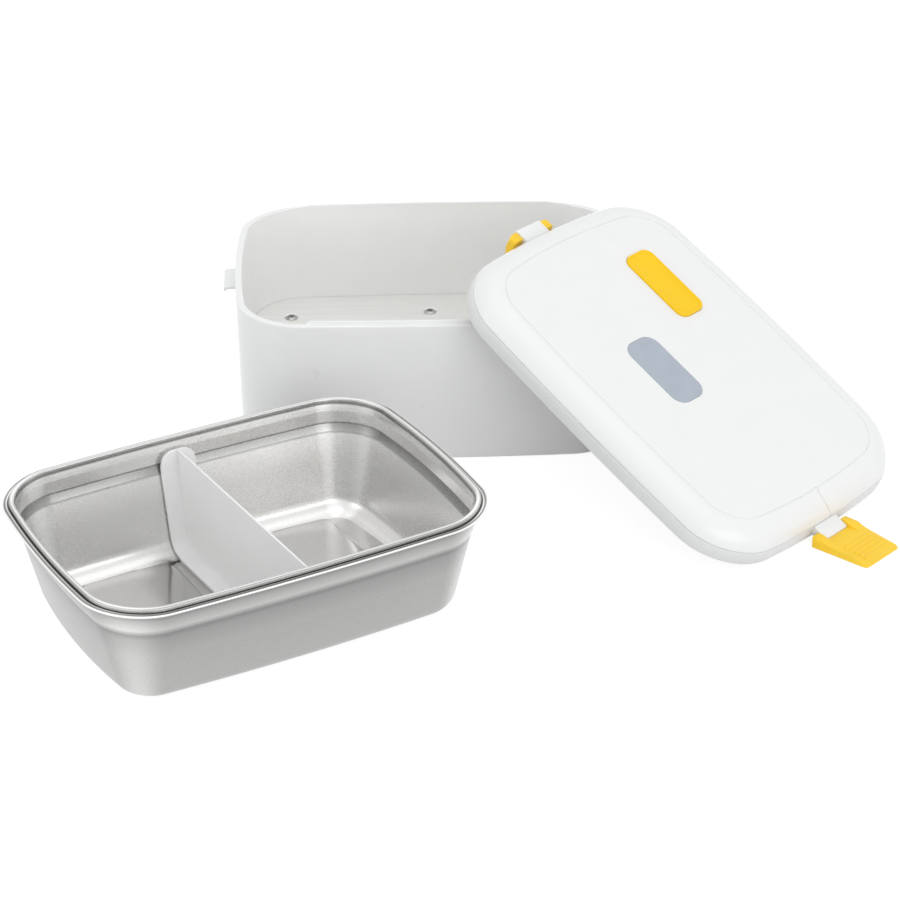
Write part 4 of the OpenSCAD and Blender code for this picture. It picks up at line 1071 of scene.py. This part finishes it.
class LUNCHBOX_OT_stage(bpy.types.Operator):
    """Set up the pale floor, the soft lamps and the camera"""
    bl_idname = "lunchbox.stage"
    bl_label = "Stage"

    def execute(self, context):
        scene = context.scene
        scene.view_settings.view_transform = "Standard"
        self.floor_material()
        corners = [(x * FLOOR_HALF, y * FLOOR_HALF, 0) for x, y in ((-1, -1), (1, -1), (1, 1), (-1, 1))]
        Shape(corners, [[0, 1, 2, 3]]).build("floor", "floor")
        self.world(scene)
        lamp("top softbox", (0.1, -0.1, 1.6), (0, -0.1, 0), (1.6, 1.2), 2)
        lamp("left softbox", (-1.6, -0.6, 0.8), (0, -0.1, 0.05), (1.2, 1.0), 3)
        lamp("front softbox", (1.0, -2.0, 0.8), (0, 0, 0.05), (1.6, 1.2), 10)
        self.camera(scene)
        return {"FINISHED"}

    def floor_material(self):
        """Pale paper to the light, and nearly white with soft shadows to the camera."""
        MATERIALS["floor"] = bpy.data.materials.new("pale floor")
        tree = empty_tree(MATERIALS["floor"])
        paper = add_node(tree, "ShaderNodeBsdfDiffuse", {"Color": (0.78, 0.78, 0.78, 1)})
        shade = add_node(tree, "ShaderNodeBsdfDiffuse", {"Color": (0.3, 0.3, 0.3, 1)})
        glow = add_node(tree, "ShaderNodeEmission", {"Color": (1, 1, 1, 1), "Strength": 0.85})
        seen = add_node(tree, "ShaderNodeAddShader", {0: shade.outputs[0], 1: glow.outputs[0]})
        mix = add_node(tree, "ShaderNodeMixShader", {
            0: direct_rays(tree), 1: paper.outputs[0], 2: seen.outputs[0]})
        add_node(tree, "ShaderNodeOutputMaterial", {"Surface": mix.outputs[0]})

    def world(self, scene):
        """A soft room that lights the object, and a white backdrop that the camera sees."""
        scene.world = bpy.data.worlds.new("studio")
        tree = empty_tree(scene.world)
        room = add_node(tree, "ShaderNodeBackground", {"Color": (0.97, 0.985, 1.0, 1), "Strength": 0.86})
        backdrop = add_node(tree, "ShaderNodeBackground", {"Color": (1, 1, 1, 1), "Strength": 1.0})
        mix = add_node(tree, "ShaderNodeMixShader", {
            0: direct_rays(tree), 1: room.outputs[0], 2: backdrop.outputs[0]})
        add_node(tree, "ShaderNodeOutputWorld", {"Surface": mix.outputs[0]})

    def camera(self, scene):
        data = bpy.data.cameras.new("camera")
        camera = bpy.data.objects.new("camera", data)
        scene.collection.objects.link(camera)
        scene.camera = camera
        camera.location = CAMERA_PLACE
        flat = cos(CAMERA_DROP)
        forward = Vector((sin(CAMERA_AZIMUTH) * flat, cos(CAMERA_AZIMUTH) * flat, -sin(CAMERA_DROP)))
        camera.rotation_euler = forward.to_track_quat("-Z", "Y").to_euler()
        data.sensor_width = SENSOR_WIDTH
        data.lens = FOCAL_PIXELS / IMAGE_PIXELS * SENSOR_WIDTH
        data.clip_start, data.clip_end = 0.05, 30.0


OPERATORS = [
    LUNCHBOX_OT_case, LUNCHBOX_OT_liner, LUNCHBOX_OT_plate, LUNCHBOX_OT_screws, LUNCHBOX_OT_tray,
    LUNCHBOX_OT_divider, LUNCHBOX_OT_lid_cover, LUNCHBOX_OT_lid_base, LUNCHBOX_OT_vent_plug,
    LUNCHBOX_OT_latches, LUNCHBOX_OT_small_parts, LUNCHBOX_OT_stage,
]


class LUNCHBOX_PT_panel(bpy.types.Panel):
    bl_label = "Lunch Box"
    bl_idname = "LUNCHBOX_PT_panel"
    bl_space_type = "VIEW_3D"
    bl_region_type = "UI"
    bl_category = "Lunch Box"

    def draw(self, context):
        layout = self.layout
        for group in (context.scene.lunch_sizes, context.scene.lunch_colours):
            box = layout.box()
            for key in type(group).__annotations__:
                box.prop(group, key)
        for operator in OPERATORS:
            layout.operator(operator.bl_idname)


CLASSES = [LunchBoxSizes, LunchBoxColours] + OPERATORS + [LUNCHBOX_PT_panel]


def register():
    for item in CLASSES:
        bpy.utils.register_class(item)
    bpy.types.Scene.lunch_sizes = bpy.props.PointerProperty(type=LunchBoxSizes)
    bpy.types.Scene.lunch_colours = bpy.props.PointerProperty(type=LunchBoxColours)


def unregister():
    del bpy.types.Scene.lunch_sizes
    del bpy.types.Scene.lunch_colours
    for item in reversed(CLASSES):
        bpy.utils.unregister_class(item)


def main():
    register()
    make_materials()
    for operator in OPERATORS:
        group, name = operator.bl_idname.split(".")
        getattr(getattr(bpy.ops, group), name)()


if __name__ == "__main__":
    main()
